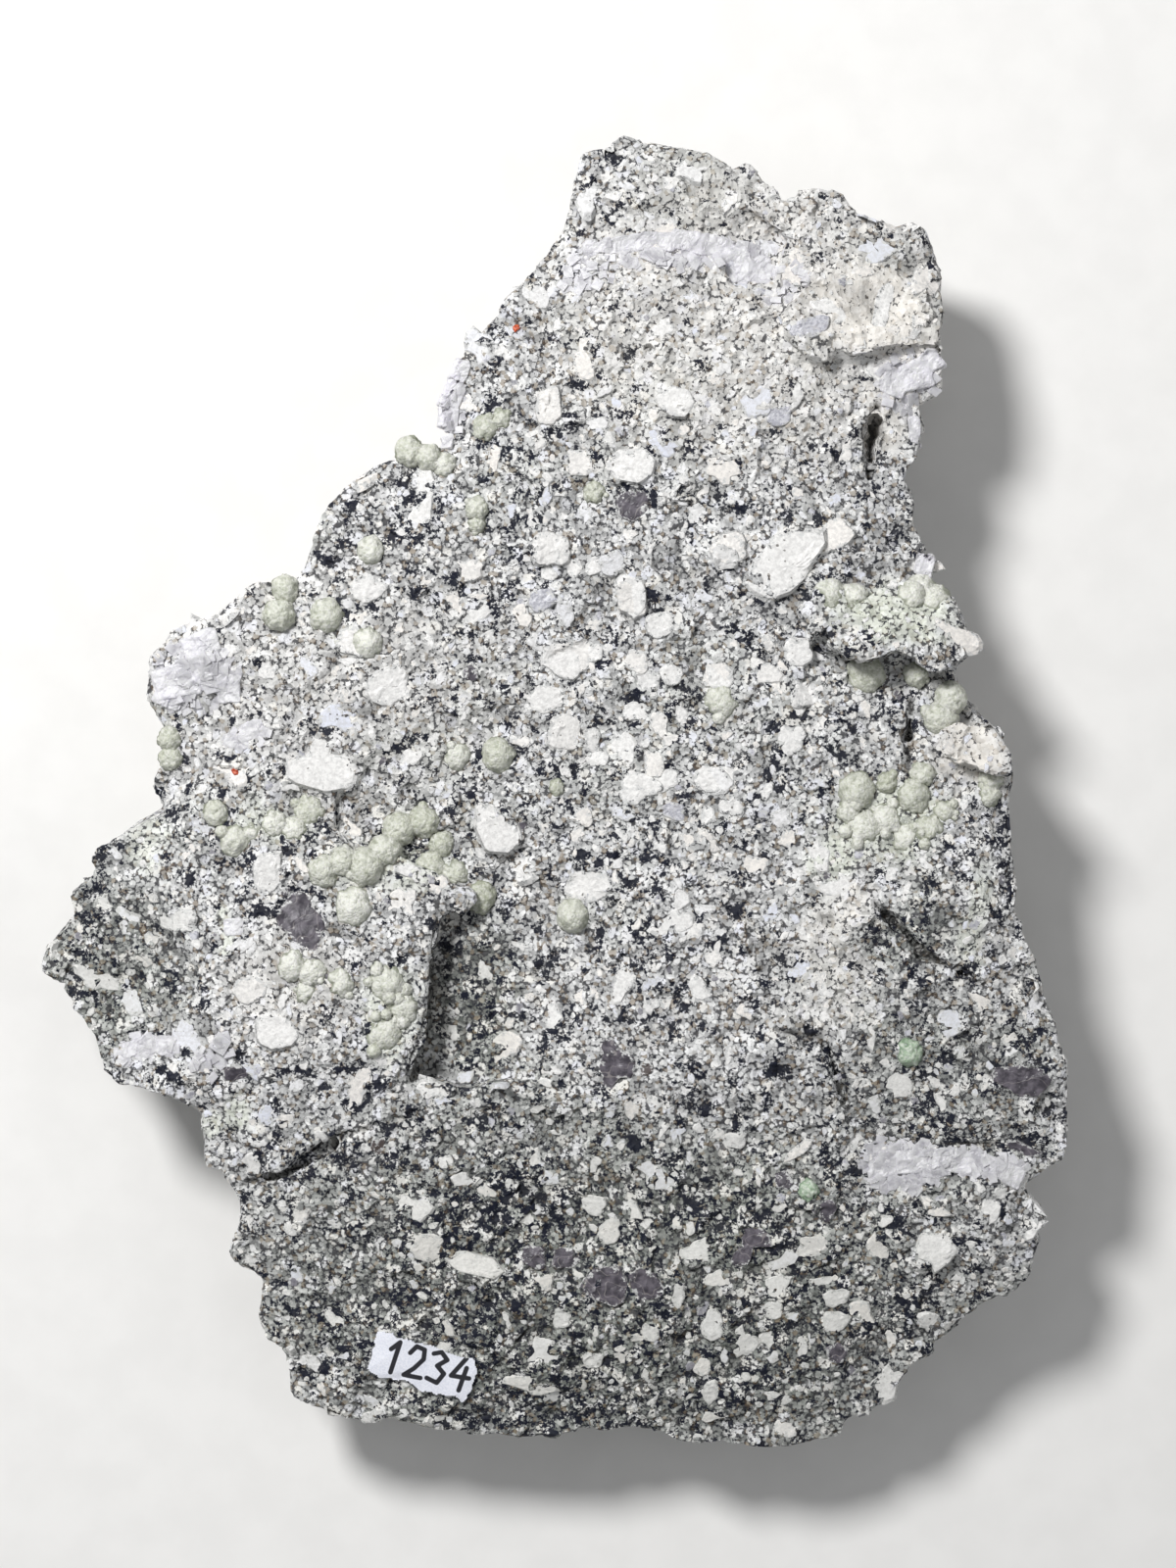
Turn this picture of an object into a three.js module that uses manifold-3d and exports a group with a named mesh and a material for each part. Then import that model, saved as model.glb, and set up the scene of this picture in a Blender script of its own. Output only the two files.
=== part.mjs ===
// A hand-sized slab of porphyritic granite that carries fluorite and calcite, lying on its back.
//
// Frame: millimetres, +Z out of the broken front face, +Y towards the slab's narrow top, +X to the right as
// the front is looked at. The origin is the middle of the slab's outline on the plane that it rests on.
//
// The rock is one solid: a field of front heights and a field of back heights, trimmed to the broken rim,
// with ledges added, hollows and cracks cut, and its largest feldspars fused on. The fluorite balls and the
// calcite blocks that have grown together are one solid each, and the number label is a skin of paper.

import * as THREE from "three";
import { mergeVertices } from "three/addons/utils/BufferGeometryUtils.js";
import Module from "manifold-3d";

const wasm = await Module();
wasm.setup();

// Driving dimensions
const SLAB_HEIGHT = 141.8; // from the top corner to the bottom edge
const FACE = 19.5; // height of the front face above the resting plane
const FLAT_SPOT_RADIUS = 27; // the back is flat inside this and rises outside it
const BACK_RISE = 0.11; // rise of the back for each millimetre beyond the flat spot
const FRONT_STEP = 5.2; // spacing of the front's height field
const BACK_STEP = 11;
const SEAT_GAP = 0.3; // between the rock and each crystal that stands on it
const PAPER_THICKNESS = 0.3;

// Places are read from a 1200 x 1600 picture of the front, in its pixels, and turned to millimetres here.
const TOP_PIXEL = 138;
const BOTTOM_PIXEL = 1485;
const LEFT_PIXEL = 41;
const RIGHT_PIXEL = 1092;
const PIXELS_PER_MM = (BOTTOM_PIXEL - TOP_PIXEL) / SLAB_HEIGHT;
const MIDDLE_PIXEL = [(LEFT_PIXEL + RIGHT_PIXEL) / 2, (TOP_PIXEL + BOTTOM_PIXEL) / 2];

const place = ([px, py]) =>
  new THREE.Vector2((px - MIDDLE_PIXEL[0]) / PIXELS_PER_MM, (MIDDLE_PIXEL[1] - py) / PIXELS_PER_MM);
const places = (pixels) => pixels.map(place);

// The broken rim, clockwise from the top left corner
const RIM_PIXELS = [
  [594, 157], [622, 149], [632, 140], [645, 138], [658, 145], [700, 152], [730, 163], [745, 173], [757, 166],
  [769, 171], [780, 184], [793, 191], [800, 205], [812, 196], [825, 192], [857, 199], [868, 214], [880, 223],
  [903, 229], [912, 236], [935, 233], [947, 247], [958, 278], [966, 317], [960, 345], [962, 375], [959, 395],
  [937, 411], [944, 436], [934, 467], [923, 486], [935, 512], [930, 531], [942, 556], [955, 577], [951, 598],
  [968, 612], [985, 640], [992, 662], [975, 684], [985, 711], [1015, 738], [1029, 762], [1031, 782],
  [1026, 822], [1028, 860], [1038, 896], [1036, 925], [1056, 980], [1077, 1040], [1088, 1095], [1092, 1140],
  [1088, 1185], [1066, 1198], [1044, 1216], [1064, 1233], [1068, 1245], [1060, 1257], [1064, 1268],
  [1056, 1300], [1042, 1321], [1020, 1323], [980, 1355], [957, 1373], [955, 1386], [940, 1395], [926, 1415],
  [895, 1452], [868, 1460], [855, 1478], [820, 1485], [745, 1484], [690, 1479], [655, 1470], [600, 1468],
  [560, 1475], [490, 1471], [440, 1462], [395, 1454], [370, 1460], [335, 1450], [292, 1435], [292, 1397],
  [283, 1381], [272, 1374], [260, 1350], [268, 1311], [241, 1294], [235, 1280], [243, 1247], [236, 1215],
  [222, 1196], [207, 1193], [201, 1135], [170, 1121], [120, 1108], [107, 1090], [90, 1055], [72, 1025],
  [60, 998], [41, 988], [48, 963], [71, 932], [66, 915], [97, 890], [89, 876], [122, 847], [163, 828],
  [151, 802], [164, 775], [168, 745], [160, 728], [146, 702], [155, 672], [180, 645], [222, 628], [250, 600],
  [275, 590], [303, 590], [315, 560], [330, 515], [352, 494], [385, 474], [450, 458], [456, 440], [450, 412],
  [470, 385], [468, 374], [487, 348], [510, 315], [552, 262], [574, 232], [590, 170],
];
const RIM = places(RIM_PIXELS);

// How far in the wall has gone at each height, from the front's edge down to the back
const WALL = [
  { z: 40, inset: 0, wander: 0 },
  { z: 14, inset: 0, wander: 0 },
  { z: 6, inset: 2.4, wander: 1.8 },
  { z: -5, inset: 7.5, wander: 1.6 },
];

// Broad swells and dips of the front: centre and half-widths in pixels, height in millimetres
const SWELLS = [
  { name: "upper face", at: [730, 400], size: [190, 220], rise: 1.0 },
  { name: "left lobe terrace", at: [125, 995], size: [75, 105], rise: -2.6 },
  { name: "ridge beside the terrace", at: [226, 1010], size: [22, 120], rise: 1.1 },
  { name: "left plate", at: [330, 1010], size: [120, 140], rise: 1.5 },
  { name: "calcite bay at the left rim", at: [195, 740], size: [60, 45], rise: -1.2 },
  { name: "low ground under the big balls", at: [370, 815], size: [110, 45], rise: -1.3 },
  { name: "centre", at: [600, 760], size: [190, 130], rise: -0.8 },
  { name: "right shoulder", at: [960, 930], size: [80, 75], rise: 2.3 },
  { name: "gully in the shoulder", at: [930, 955], size: [45, 22], rise: -1.6 },
  { name: "cracked knob", at: [800, 1085], size: [55, 42], rise: 1.7 },
  { name: "pit below the knob", at: [772, 1150], size: [26, 34], rise: -2.2 },
  { name: "vein groove", at: [970, 1190], size: [95, 22], rise: -1.1 },
  { name: "lower right corner", at: [990, 1270], size: [80, 60], rise: 1.0 },
  { name: "bottom middle", at: [600, 1330], size: [240, 110], rise: 0.9 },
];

// Below this line the front falls away towards the bottom edge
const FOLD_Y = -31;
const FOLD_FALL = 0.13;

// Ledges that stand proud of the front. Each is lifted from nothing along the line "from" to its full lift
// along the line "to", and its edges below the top are undercut.
const LEDGES = [
  {
    name: "upper right crust",
    lift: 2.4,
    undercut: 0.7,
    from: [900, 265],
    to: [880, 350],
    pixels: [
      [795, 318], [840, 262], [905, 258], [955, 285], [975, 330], [957, 356], [905, 356], [890, 366],
      [868, 369], [852, 361], [838, 375], [818, 366], [800, 345],
    ],
  },
  {
    name: "right ledge",
    lift: 3.6,
    undercut: 1.5,
    from: [890, 578],
    to: [880, 665],
    pixels: [
      [803, 622], [828, 600], [878, 602], [900, 588], [925, 583], [950, 594], [975, 608], [1000, 650],
      [988, 676], [972, 690], [950, 690], [938, 678], [918, 672], [902, 676], [880, 682], [858, 673],
      [840, 660], [836, 648], [822, 648],
    ],
  },
  {
    name: "white lump at the right rim",
    lift: 3.4,
    undercut: 1.1,
    from: [985, 700],
    to: [1000, 775],
    pixels: [
      [950, 745], [975, 730], [1005, 728], [1040, 745], [1044, 792], [1018, 796], [995, 788], [975, 782],
      [955, 768],
    ],
  },
];

// Wedges cut into the front: full depth along the line "deep", nothing along the line "out"
const HOLLOWS = [
  {
    name: "recess beside the left plate",
    depth: 5.6,
    deep: [425, 1040],
    out: [640, 985],
    pixels: [
      [470, 926], [449, 934], [444, 965], [437, 1000], [434, 1040], [426, 1076], [413, 1107], [442, 1103],
      [482, 1111], [522, 1104], [566, 1113], [650, 1110], [690, 980], [640, 900], [520, 890],
    ],
  },
  {
    name: "low side of the ball arc",
    depth: 2.2,
    deep: [400, 872],
    out: [440, 770],
    pixels: [
      [338, 850], [360, 862], [400, 870], [440, 892], [500, 925], [560, 860], [520, 770], [420, 750],
      [345, 800],
    ],
  },
  {
    name: "bay under the right ledge",
    depth: 2.0,
    deep: [880, 672],
    out: [860, 760],
    pixels: [
      [828, 655], [850, 660], [890, 668], [935, 662], [962, 676], [970, 720], [930, 770], [850, 765],
      [815, 700],
    ],
  },
  {
    name: "step along the top seam",
    depth: 1.5,
    deep: [665, 262],
    out: [650, 200],
    pixels: [
      [590, 268], [622, 261], [655, 257], [700, 263], [735, 261], [745, 290], [790, 288], [800, 240],
      [740, 195], [600, 205],
    ],
  },
];

// Cracks: a route in pixels, the width at its middle and the depth, both in millimetres
const CRACKS = [
  { name: "crack by the right rim", width: 1.5, depth: 6, route: [[897, 418], [889, 445], [888, 482]] },
  {
    name: "lower left crack", width: 1.1, depth: 3,
    route: [[246, 1212], [290, 1198], [330, 1172], [362, 1152]],
  },
  { name: "crack above the ball nest", width: 1.2, depth: 4, route: [[932, 716], [928, 750], [926, 792]] },
  { name: "shoulder crack", width: 1.4, depth: 4, route: [[893, 922], [918, 945], [944, 974], [1004, 1004]] },
  { name: "knob crack", width: 1.2, depth: 3.5, route: [[838, 1052], [849, 1082], [858, 1112], [868, 1140]] },
];

// The largest feldspars, which stand a little proud: centre, length and width in pixels, turn in degrees
const FELDSPARS = [
  [802, 574, 96, 58, 50], [645, 477, 56, 38, 5], [688, 412, 40, 30, -10], [562, 560, 38, 36, 0],
  [332, 788, 78, 42, -8], [511, 850, 58, 44, -60], [744, 560, 34, 34, 0], [272, 890, 44, 32, 78],
  [955, 1278, 58, 40, 30], [492, 1300, 62, 30, -12], [282, 1052, 40, 34, 0],
];
const FELDSPAR_PROUD = 0.6;
const FELDSPAR_DEPTH = 1.2;

// Fluorite balls by cluster: each ball is its centre and diameter in pixels
const FLUORITE = {
  fluorite_rim_trio: [[417, 460, 31], [437, 466, 27], [453, 473, 25]],
  fluorite_upper_pair: [[496, 436, 29], [512, 426, 27]],
  fluorite_upper_stack: [[486, 519, 25], [486, 534, 22]],
  fluorite_upper_single: [[607, 503, 24]],
  fluorite_left_crescent: [[378, 562, 29]],
  fluorite_left_rim_pair: [[290, 601, 29], [284, 627, 32]],
  fluorite_left_square: [[333, 628, 36]],
  fluorite_beside_feldspar: [[374, 656, 34]],
  fluorite_left_edge_chips: [[171, 754, 25], [172, 774, 25]],
  fluorite_arc_head: [[220, 829, 28]],
  fluorite_left_arc: [
    [238, 857, 36], [258, 848, 30], [278, 841, 30], [299, 848, 34], [314, 828, 38],
  ],
  fluorite_centre_arc: [
    [330, 889, 34], [350, 879, 30], [371, 884, 38], [392, 868, 34], [406, 846, 34], [432, 839, 36],
    [449, 861, 32], [439, 885, 32], [463, 892, 34],
  ],
  fluorite_dark_ball: [[489, 915, 35]],
  fluorite_plate_rosette: [[360, 925, 44]],
  fluorite_plate_balls: [[297, 985, 34], [319, 992, 30], [312, 1012, 26]],
  fluorite_plate_ball: [[348, 1002, 32]],
  fluorite_plate_edge: [[394, 1003, 42], [410, 1029, 36], [390, 1054, 42]],
  fluorite_centre_low: [[585, 935, 34]],
  fluorite_centre_grey: [[508, 770, 36]],
  fluorite_centre_pale: [[466, 771, 30]],
  fluorite_centre_right: [[737, 716, 38]],
  fluorite_small_grey: [[567, 803, 18]],
  fluorite_ledge_left: [[846, 611, 38], [870, 612, 32]],
  fluorite_ledge_right: [[928, 612, 38], [952, 617, 42], [940, 601, 34]],
  fluorite_under_ledge: [[884, 688, 40]],
  fluorite_right_crevice: [[936, 688, 26]],
  fluorite_right_slope: [[971, 713, 34], [961, 733, 35]],
  fluorite_nest_left: [[874, 806, 40], [866, 829, 28]],
  fluorite_nest_small: [[906, 798, 24]],
  fluorite_nest_middle: [[932, 812, 36], [942, 790, 26]],
  fluorite_nest_low: [
    [882, 846, 40], [905, 836, 36], [925, 856, 34], [948, 847, 36], [964, 829, 30],
  ],
  fluorite_right_rim: [[1009, 810, 28], [1012, 796, 24]],
  fluorite_green_upper: [[928, 1073, 30]],
  fluorite_green_lower: [[826, 1216, 25]],
};
// Of a ball's diameter: how far its centre is above the rock, how much that varies, and how far it may be
// above or below the ball before it in its cluster
const BALL_RISE = 0.02;
const BALL_UNEVEN = 0.1;
const BALL_STEP = 0.25;

// Calcite: blocks in a row or patch, each its centre, length and width in pixels, turn in degrees and how far
// it stands proud in millimetres
const CALCITE = {
  calcite_top_seam: [
    [612, 253, 44, 24, 5, 0.8], [642, 249, 42, 26, 8, 0.9], [672, 246, 44, 26, 0, 1.1],
    [703, 245, 44, 28, -8, 1.1], [731, 252, 42, 30, -20, 1.1], [752, 270, 42, 42, 30, 1.0],
    [774, 274, 34, 36, 10, 0.8],
  ],
  calcite_rim_crystals: [
    [935, 382, 40, 38, 20, 1.6], [913, 392, 34, 32, -15, 1.0], [949, 368, 30, 30, 40, 1.4],
  ],
  calcite_right_rim_glass: [[934, 438, 16, 38, 4, 0.7]],
  calcite_left_patch: [
    [205, 658, 50, 34, 20, 0.9], [180, 695, 56, 40, 15, 1.2], [215, 685, 44, 40, -10, 1.0],
    [233, 703, 30, 36, 5, 0.8], [170, 712, 36, 24, -20, 1.0],
  ],
  calcite_left_plates: [[257, 745, 32, 24, 20, 0.6], [238, 757, 26, 20, -20, 0.5]],
  calcite_low_left_patch: [[142, 1070, 52, 24, 12, 0.7], [168, 1068, 26, 28, -8, 0.7]],
  calcite_tablet: [[240, 946, 26, 23, 8, 0.8]],
  calcite_low_right_vein: [
    [905, 1193, 44, 26, 10, 0.7], [937, 1187, 48, 32, 4, 0.8], [970, 1185, 48, 34, -4, 1.0],
    [1003, 1190, 46, 32, -12, 0.9], [1030, 1199, 40, 28, -20, 0.8],
  ],
  calcite_upper_left_rim: [
    [470, 378, 22, 30, -20, 0.9], [462, 402, 26, 34, -20, 0.9], [458, 424, 24, 26, 0, 0.7],
  ],
  calcite_right_rim_knob: [[944, 577, 24, 28, -10, 1.2]],
};
const CALCITE_DEPTH = 1.6; // from the middle of a block to its deepest point

// The paper label that carries the collection number
const LABEL_PIXELS = [
  [383, 1363], [397, 1363], [408, 1369], [440, 1377], [462, 1386], [483, 1391], [486, 1402], [482, 1422],
  [470, 1439], [462, 1431], [438, 1427], [424, 1424], [416, 1414], [384, 1411], [373, 1401], [377, 1386],
];

const COLOURS = {
  rock: new THREE.MeshStandardMaterial({ color: 0xb3b2ac, roughness: 0.9, metalness: 0 }),
  fluorite: new THREE.MeshStandardMaterial({ color: 0xb9c0a2, roughness: 0.45, metalness: 0 }),
  calcite: new THREE.MeshStandardMaterial({ color: 0xd9d7e0, roughness: 0.4, metalness: 0 }),
  paper: new THREE.MeshStandardMaterial({ color: 0xecebf2, roughness: 0.6, metalness: 0 }),
};

// Noise between -1 and 1 that is the same on every machine
const HASH_FACTORS = [374761393, 668265263, 2147483647, 1274126177];
function hash(i, j, seed) {
  let h = Math.imul(i, HASH_FACTORS[0]) ^ Math.imul(j, HASH_FACTORS[1]) ^ Math.imul(seed, HASH_FACTORS[2]);
  h = Math.imul(h ^ (h >>> 13), HASH_FACTORS[3]);
  h = Math.imul(h ^ (h >>> 15), HASH_FACTORS[0]);
  return (((h ^ (h >>> 16)) >>> 0) / 4294967295) * 2 - 1;
}
const ease = (t) => t * t * (3 - 2 * t);
const limit = (t) => Math.min(1, Math.max(0, t));
const mix = (a, b, t) => a + (b - a) * t;

function noise(x, y, size, seed) {
  const [u, v] = [x / size, y / size];
  const [i, j] = [Math.floor(u), Math.floor(v)];
  const [s, t] = [ease(u - i), ease(v - j)];
  return mix(
    mix(hash(i, j, seed), hash(i + 1, j, seed), s),
    mix(hash(i, j + 1, seed), hash(i + 1, j + 1, seed), s),
    t,
  );
}

function distanceToRim(x, y) {
  const point = new THREE.Vector2(x, y);
  let nearest = Infinity;
  RIM.forEach((a, i) => {
    const b = RIM[(i + 1) % RIM.length];
    const side = b.clone().sub(a);
    const along = limit(point.clone().sub(a).dot(side) / side.lengthSq());
    nearest = Math.min(nearest, point.distanceTo(a.clone().addScaledVector(side, along)));
  });
  return nearest;
}

// Height of the front face at a place, before ledges and hollows
const RIM_ROUNDING = 1.5;
const RIM_ROUNDING_REACH = 4;
const BROAD_RELIEF = 0.55;
const MIDDLE_RELIEF = 0.4;
const SHARP_RELIEF = 0.3;
function front(x, y) {
  let z = FACE + BROAD_RELIEF * noise(x, y, 11, 1) + MIDDLE_RELIEF * noise(x, y, 4.3, 2);
  z += SHARP_RELIEF * hash(Math.round(x), Math.round(y), 3);
  for (const swell of SWELLS) {
    const centre = place(swell.at);
    const across = ((x - centre.x) * PIXELS_PER_MM) / swell.size[0];
    const up = ((y - centre.y) * PIXELS_PER_MM) / swell.size[1];
    z += swell.rise * Math.exp(-(across ** 2 + up ** 2));
  }
  z -= FOLD_FALL * Math.max(0, FOLD_Y - y);
  z -= RIM_ROUNDING * (1 - limit(distanceToRim(x, y) / RIM_ROUNDING_REACH)) ** 2;
  return z;
}

// Height of the back: a flat spot in the middle that the slab rests on, rough and rising outside it
function back(x, y) {
  const beyond = Math.hypot(x, y * 0.8) - FLAT_SPOT_RADIUS - 4 * noise(x, y, 20, 7);
  const rough = 0.9 + 0.9 * noise(x, y, 14, 8) + 0.5 * noise(x, y, 6, 9);
  return Math.max(0, BACK_RISE * beyond + (beyond > 0 ? rough * limit(beyond / 8) : 0));
}

// One closed solid from corners and triangles
function solidFrom(corners, triangles) {
  const geometry = new THREE.BufferGeometry();
  geometry.setAttribute("position", new THREE.Float32BufferAttribute(corners.flat(), 3));
  geometry.setIndex(triangles.flat());
  return solidOf(geometry);
}

function solidOf(geometry) {
  const plain = geometry.clone();
  plain.deleteAttribute("normal");
  plain.deleteAttribute("uv");
  const merged = mergeVertices(plain, 1e-4);
  return new wasm.Manifold(
    new wasm.Mesh({
      numProp: 3,
      vertProperties: new Float32Array(merged.attributes.position.array),
      triVerts: new Uint32Array(merged.index.array),
    }),
  );
}

// A closed block over a rectangle, between a field of heights and a level, on either side of it
function heightBlock(height, level, low, high, step) {
  const columns = Math.ceil((high.x - low.x) / step);
  const rows = Math.ceil((high.y - low.y) / step);
  const corners = [];
  const triangles = [];
  const index = (i, j) => j * (columns + 1) + i;
  for (let j = 0; j <= rows; j++) {
    for (let i = 0; i <= columns; i++) {
      const inside = i > 0 && j > 0 && i < columns && j < rows;
      const shift = inside ? 0.3 * step : 0;
      const x = low.x + i * step + shift * hash(i, j, 11);
      const y = low.y + j * step + shift * hash(i, j, 12);
      corners.push([x, y, height(x, y)]);
    }
  }
  const upright = height(low.x, low.y) > level;
  const face = (a, b, c) => triangles.push(upright ? [a, b, c] : [a, c, b]);
  for (let j = 0; j < rows; j++) {
    for (let i = 0; i < columns; i++) {
      const [a, b, c, d] = [index(i, j), index(i + 1, j), index(i + 1, j + 1), index(i, j + 1)];
      if (hash(i, j, 13) > 0) {
        face(a, b, c);
        face(a, c, d);
      } else {
        face(a, b, d);
        face(b, c, d);
      }
    }
  }
  const border = [];
  for (let i = 0; i < columns; i++) border.push(index(i, 0));
  for (let j = 0; j < rows; j++) border.push(index(columns, j));
  for (let i = columns; i > 0; i--) border.push(index(i, rows));
  for (let j = rows; j > 0; j--) border.push(index(0, j));
  const foot = corners.length;
  border.forEach((k) => corners.push([corners[k][0], corners[k][1], level]));
  const hub = corners.length;
  corners.push([(low.x + high.x) / 2, (low.y + high.y) / 2, level]);
  border.forEach((k, n) => {
    const next = (n + 1) % border.length;
    face(k, foot + n, foot + next);
    face(k, foot + next, border[next]);
    face(hub, foot + next, foot + n);
  });
  return solidFrom(corners, triangles);
}

// A closed wall around an outline, with one ring of the outline at each level, highest first
function loft(ringsAnyWay) {
  const flat = (ring) => ring.map((p) => new THREE.Vector2(p.x, p.y));
  const clockwise = THREE.ShapeUtils.isClockWise(flat(ringsAnyWay[0]));
  const rings = clockwise ? ringsAnyWay.map((ring) => [...ring].reverse()) : ringsAnyWay;
  const count = rings[0].length;
  const triangles = [];
  for (let k = 0; k + 1 < rings.length; k++) {
    for (let i = 0; i < count; i++) {
      const [a, b] = [k * count + i, k * count + ((i + 1) % count)];
      triangles.push([a, b + count, b], [a, a + count, b + count]);
    }
  }
  const cap = (ring, first, up) => {
    for (const [a, b, c] of THREE.ShapeUtils.triangulateShape(flat(ring), [])) {
      const isUp = !THREE.ShapeUtils.isClockWise(flat([ring[a], ring[b], ring[c]]));
      triangles.push(isUp === up ? [first + a, first + b, first + c] : [first + c, first + b, first + a]);
    }
  };
  cap(rings[0], 0, true);
  cap(rings.at(-1), (rings.length - 1) * count, false);
  return solidFrom(rings.flat().map((p) => [p.x, p.y, p.z]), triangles);
}

// A straight or undercut prism of an outline between two levels
function prism(outline, lowZ, highZ, undercut = 0) {
  const middle = outline.reduce((sum, p) => sum.add(p), new THREE.Vector2()).divideScalar(outline.length);
  const ring = (z, inset) =>
    outline.map((p) => {
      const arm = p.clone().sub(middle);
      arm.setLength(Math.max(0.5, arm.length() - inset)).add(middle);
      return new THREE.Vector3(arm.x, arm.y, z);
    });
  return loft([ring(highZ, 0), ring(lowZ, undercut)]);
}

function extent(outline, margin) {
  const box = new THREE.Box2().setFromPoints(outline).expandByScalar(margin);
  return [box.min, box.max];
}

// How far a place has gone from one line to another, both square to the way between two points, 0 to 1
function gone(x, y, from, to) {
  const [start, end] = [place(from), place(to)];
  const way = end.clone().sub(start);
  return limit(new THREE.Vector2(x, y).sub(start).dot(way) / way.lengthSq());
}

function rimWall() {
  const rings = WALL.map((level, k) =>
    RIM.map((p) => {
      const reach = p.length();
      const wandered = noise(p.x, p.y, 9, 20 + k) + 0.3 * noise(p.x, p.y, 3, 30 + k);
      const q = p.clone().multiplyScalar((reach - level.inset + level.wander * wandered) / reach);
      return new THREE.Vector3(q.x, q.y, level.z);
    }),
  );
  return loft(rings);
}

// Where a ledge or hollow runs out it is just inside or just clear of the front
const RUN_OUT = 0.4;
const ABOVE_ALL = FACE + 14;
const BELOW_ALL = -2;
const HOLLOW_FOOT = FACE - 12;
const LEDGE_FOOT = FACE - 6;

function ledge({ pixels, lift, undercut, from, to }) {
  const outline = places(pixels);
  const top = (x, y) => front(x, y) - RUN_OUT + (lift + RUN_OUT) * gone(x, y, from, to) ** 0.7;
  const [low, high] = extent(outline, FRONT_STEP);
  const block = heightBlock(top, BELOW_ALL, low, high, FRONT_STEP);
  return block.intersect(prism(outline, LEDGE_FOOT, ABOVE_ALL, undercut));
}

function hollow({ pixels, depth, deep, out }) {
  const outline = places(pixels);
  const floor = (x, y) => front(x, y) + RUN_OUT - (depth + RUN_OUT) * (1 - gone(x, y, deep, out)) ** 1.1;
  const [low, high] = extent(outline, FRONT_STEP);
  const block = heightBlock(floor, ABOVE_ALL + 1, low, high, FRONT_STEP);
  return block.intersect(prism(outline, HOLLOW_FOOT, ABOVE_ALL));
}

// A crack: a thin blade that is widest along its middle and closes towards its ends
function crack({ route, width, depth }) {
  const line = places(route);
  const left = [];
  const right = [];
  line.forEach((p, i) => {
    const way = line[Math.min(i + 1, line.length - 1)].clone().sub(line[Math.max(i - 1, 0)]).normalize();
    const half = (i === 0 || i === line.length - 1 ? 0.2 : 0.5) * width;
    left.push(new THREE.Vector2(p.x - way.y * half, p.y + way.x * half));
    right.push(new THREE.Vector2(p.x + way.y * half, p.y - way.x * half));
  });
  const middle = line[Math.floor(line.length / 2)];
  const floor = front(middle.x, middle.y) - depth;
  return prism([...left, ...right.reverse()], floor, ABOVE_ALL);
}

// A low tablet: five-sided, a little tilted, its top smaller than its foot
const BEVEL = 0.8;
const TABLET = [[-1, -0.8], [0.85, -1], [1, 0.7], [0.55, 1], [-0.95, 0.9]];
const TABLET_TILT = 0.12;
function tablet([px, py, lengthPixels, widthPixels, turn], top, foot) {
  const spot = place([px, py]);
  const angle = THREE.MathUtils.degToRad(turn);
  const tilt = TABLET_TILT * hash(px, py, 51);
  const ring = (scale, z) =>
    TABLET.map(([u, v], i) => {
      const stretch = (scale * (1 + 0.1 * hash(i, px + py, 52))) / 2 / PIXELS_PER_MM;
      const point = new THREE.Vector2(u * lengthPixels * stretch, v * widthPixels * stretch);
      const z0 = z + tilt * point.x;
      point.rotateAround(new THREE.Vector2(), angle);
      return new THREE.Vector3(spot.x + point.x, spot.y + point.y, z0);
    });
  return loft([ring(BEVEL, top), ring(1, foot)]);
}

function feldspar(shape) {
  const spot = place(shape);
  const level = front(spot.x, spot.y);
  return tablet(shape, level + FELDSPAR_PROUD, level - FELDSPAR_DEPTH);
}

function makeRock() {
  const [low, high] = extent(RIM, 3);
  let rock = heightBlock(front, -10, low, high, FRONT_STEP);
  for (const shape of HOLLOWS) rock = rock.subtract(hollow(shape));
  for (const shape of LEDGES) rock = rock.add(ledge(shape));
  for (const shape of CRACKS) rock = rock.subtract(crack(shape));
  for (const shape of FELDSPARS) rock = rock.add(feldspar(shape));
  rock = rock.intersect(heightBlock(back, 60, low, high, BACK_STEP)).intersect(rimWall());
  return largest(rock);
}

function largest(solid) {
  return solid.decompose().sort((a, b) => b.volume() - a.volume())[0];
}

// What is left of a solid that stands on the rock when the rock is kept a gap away: below it always, and to
// a side where there is a wall
const SIDES = [[1, 0, 0], [-1, 0, 0], [0, 1, 0], [0, -1, 0]];
const WALL_CONTACT = 1.2; // cubic millimetres
function seatedOn(rock, solid) {
  const box = solid.boundingBox();
  const near = rock.intersect(column(box.min[0], box.min[1], box.max[0], box.max[1]));
  let seated = solid.subtract(near.translate([0, 0, SEAT_GAP])).subtract(near);
  for (const side of SIDES) {
    const wall = near.translate(side.map((n) => n * SEAT_GAP));
    if (seated.intersect(wall).volume() > WALL_CONTACT) seated = seated.subtract(wall);
  }
  return largest(seated);
}

function column(lowX, lowY, highX, highY) {
  const corners = [[lowX, lowY], [highX, lowY], [highX, highY], [lowX, highY]];
  return prism(corners.map(([x, y]) => new THREE.Vector2(x, y)), BELOW_ALL, ABOVE_ALL);
}

// The highest point of the rock's surface over a small square
const PROBE = 0.4; // half of the square's side
function surface(rock, x, y) {
  const cut = rock.intersect(column(x - PROBE, y - PROBE, x + PROBE, y + PROBE));
  return cut.isEmpty() ? front(x, y) : cut.boundingBox().max[2];
}

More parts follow.
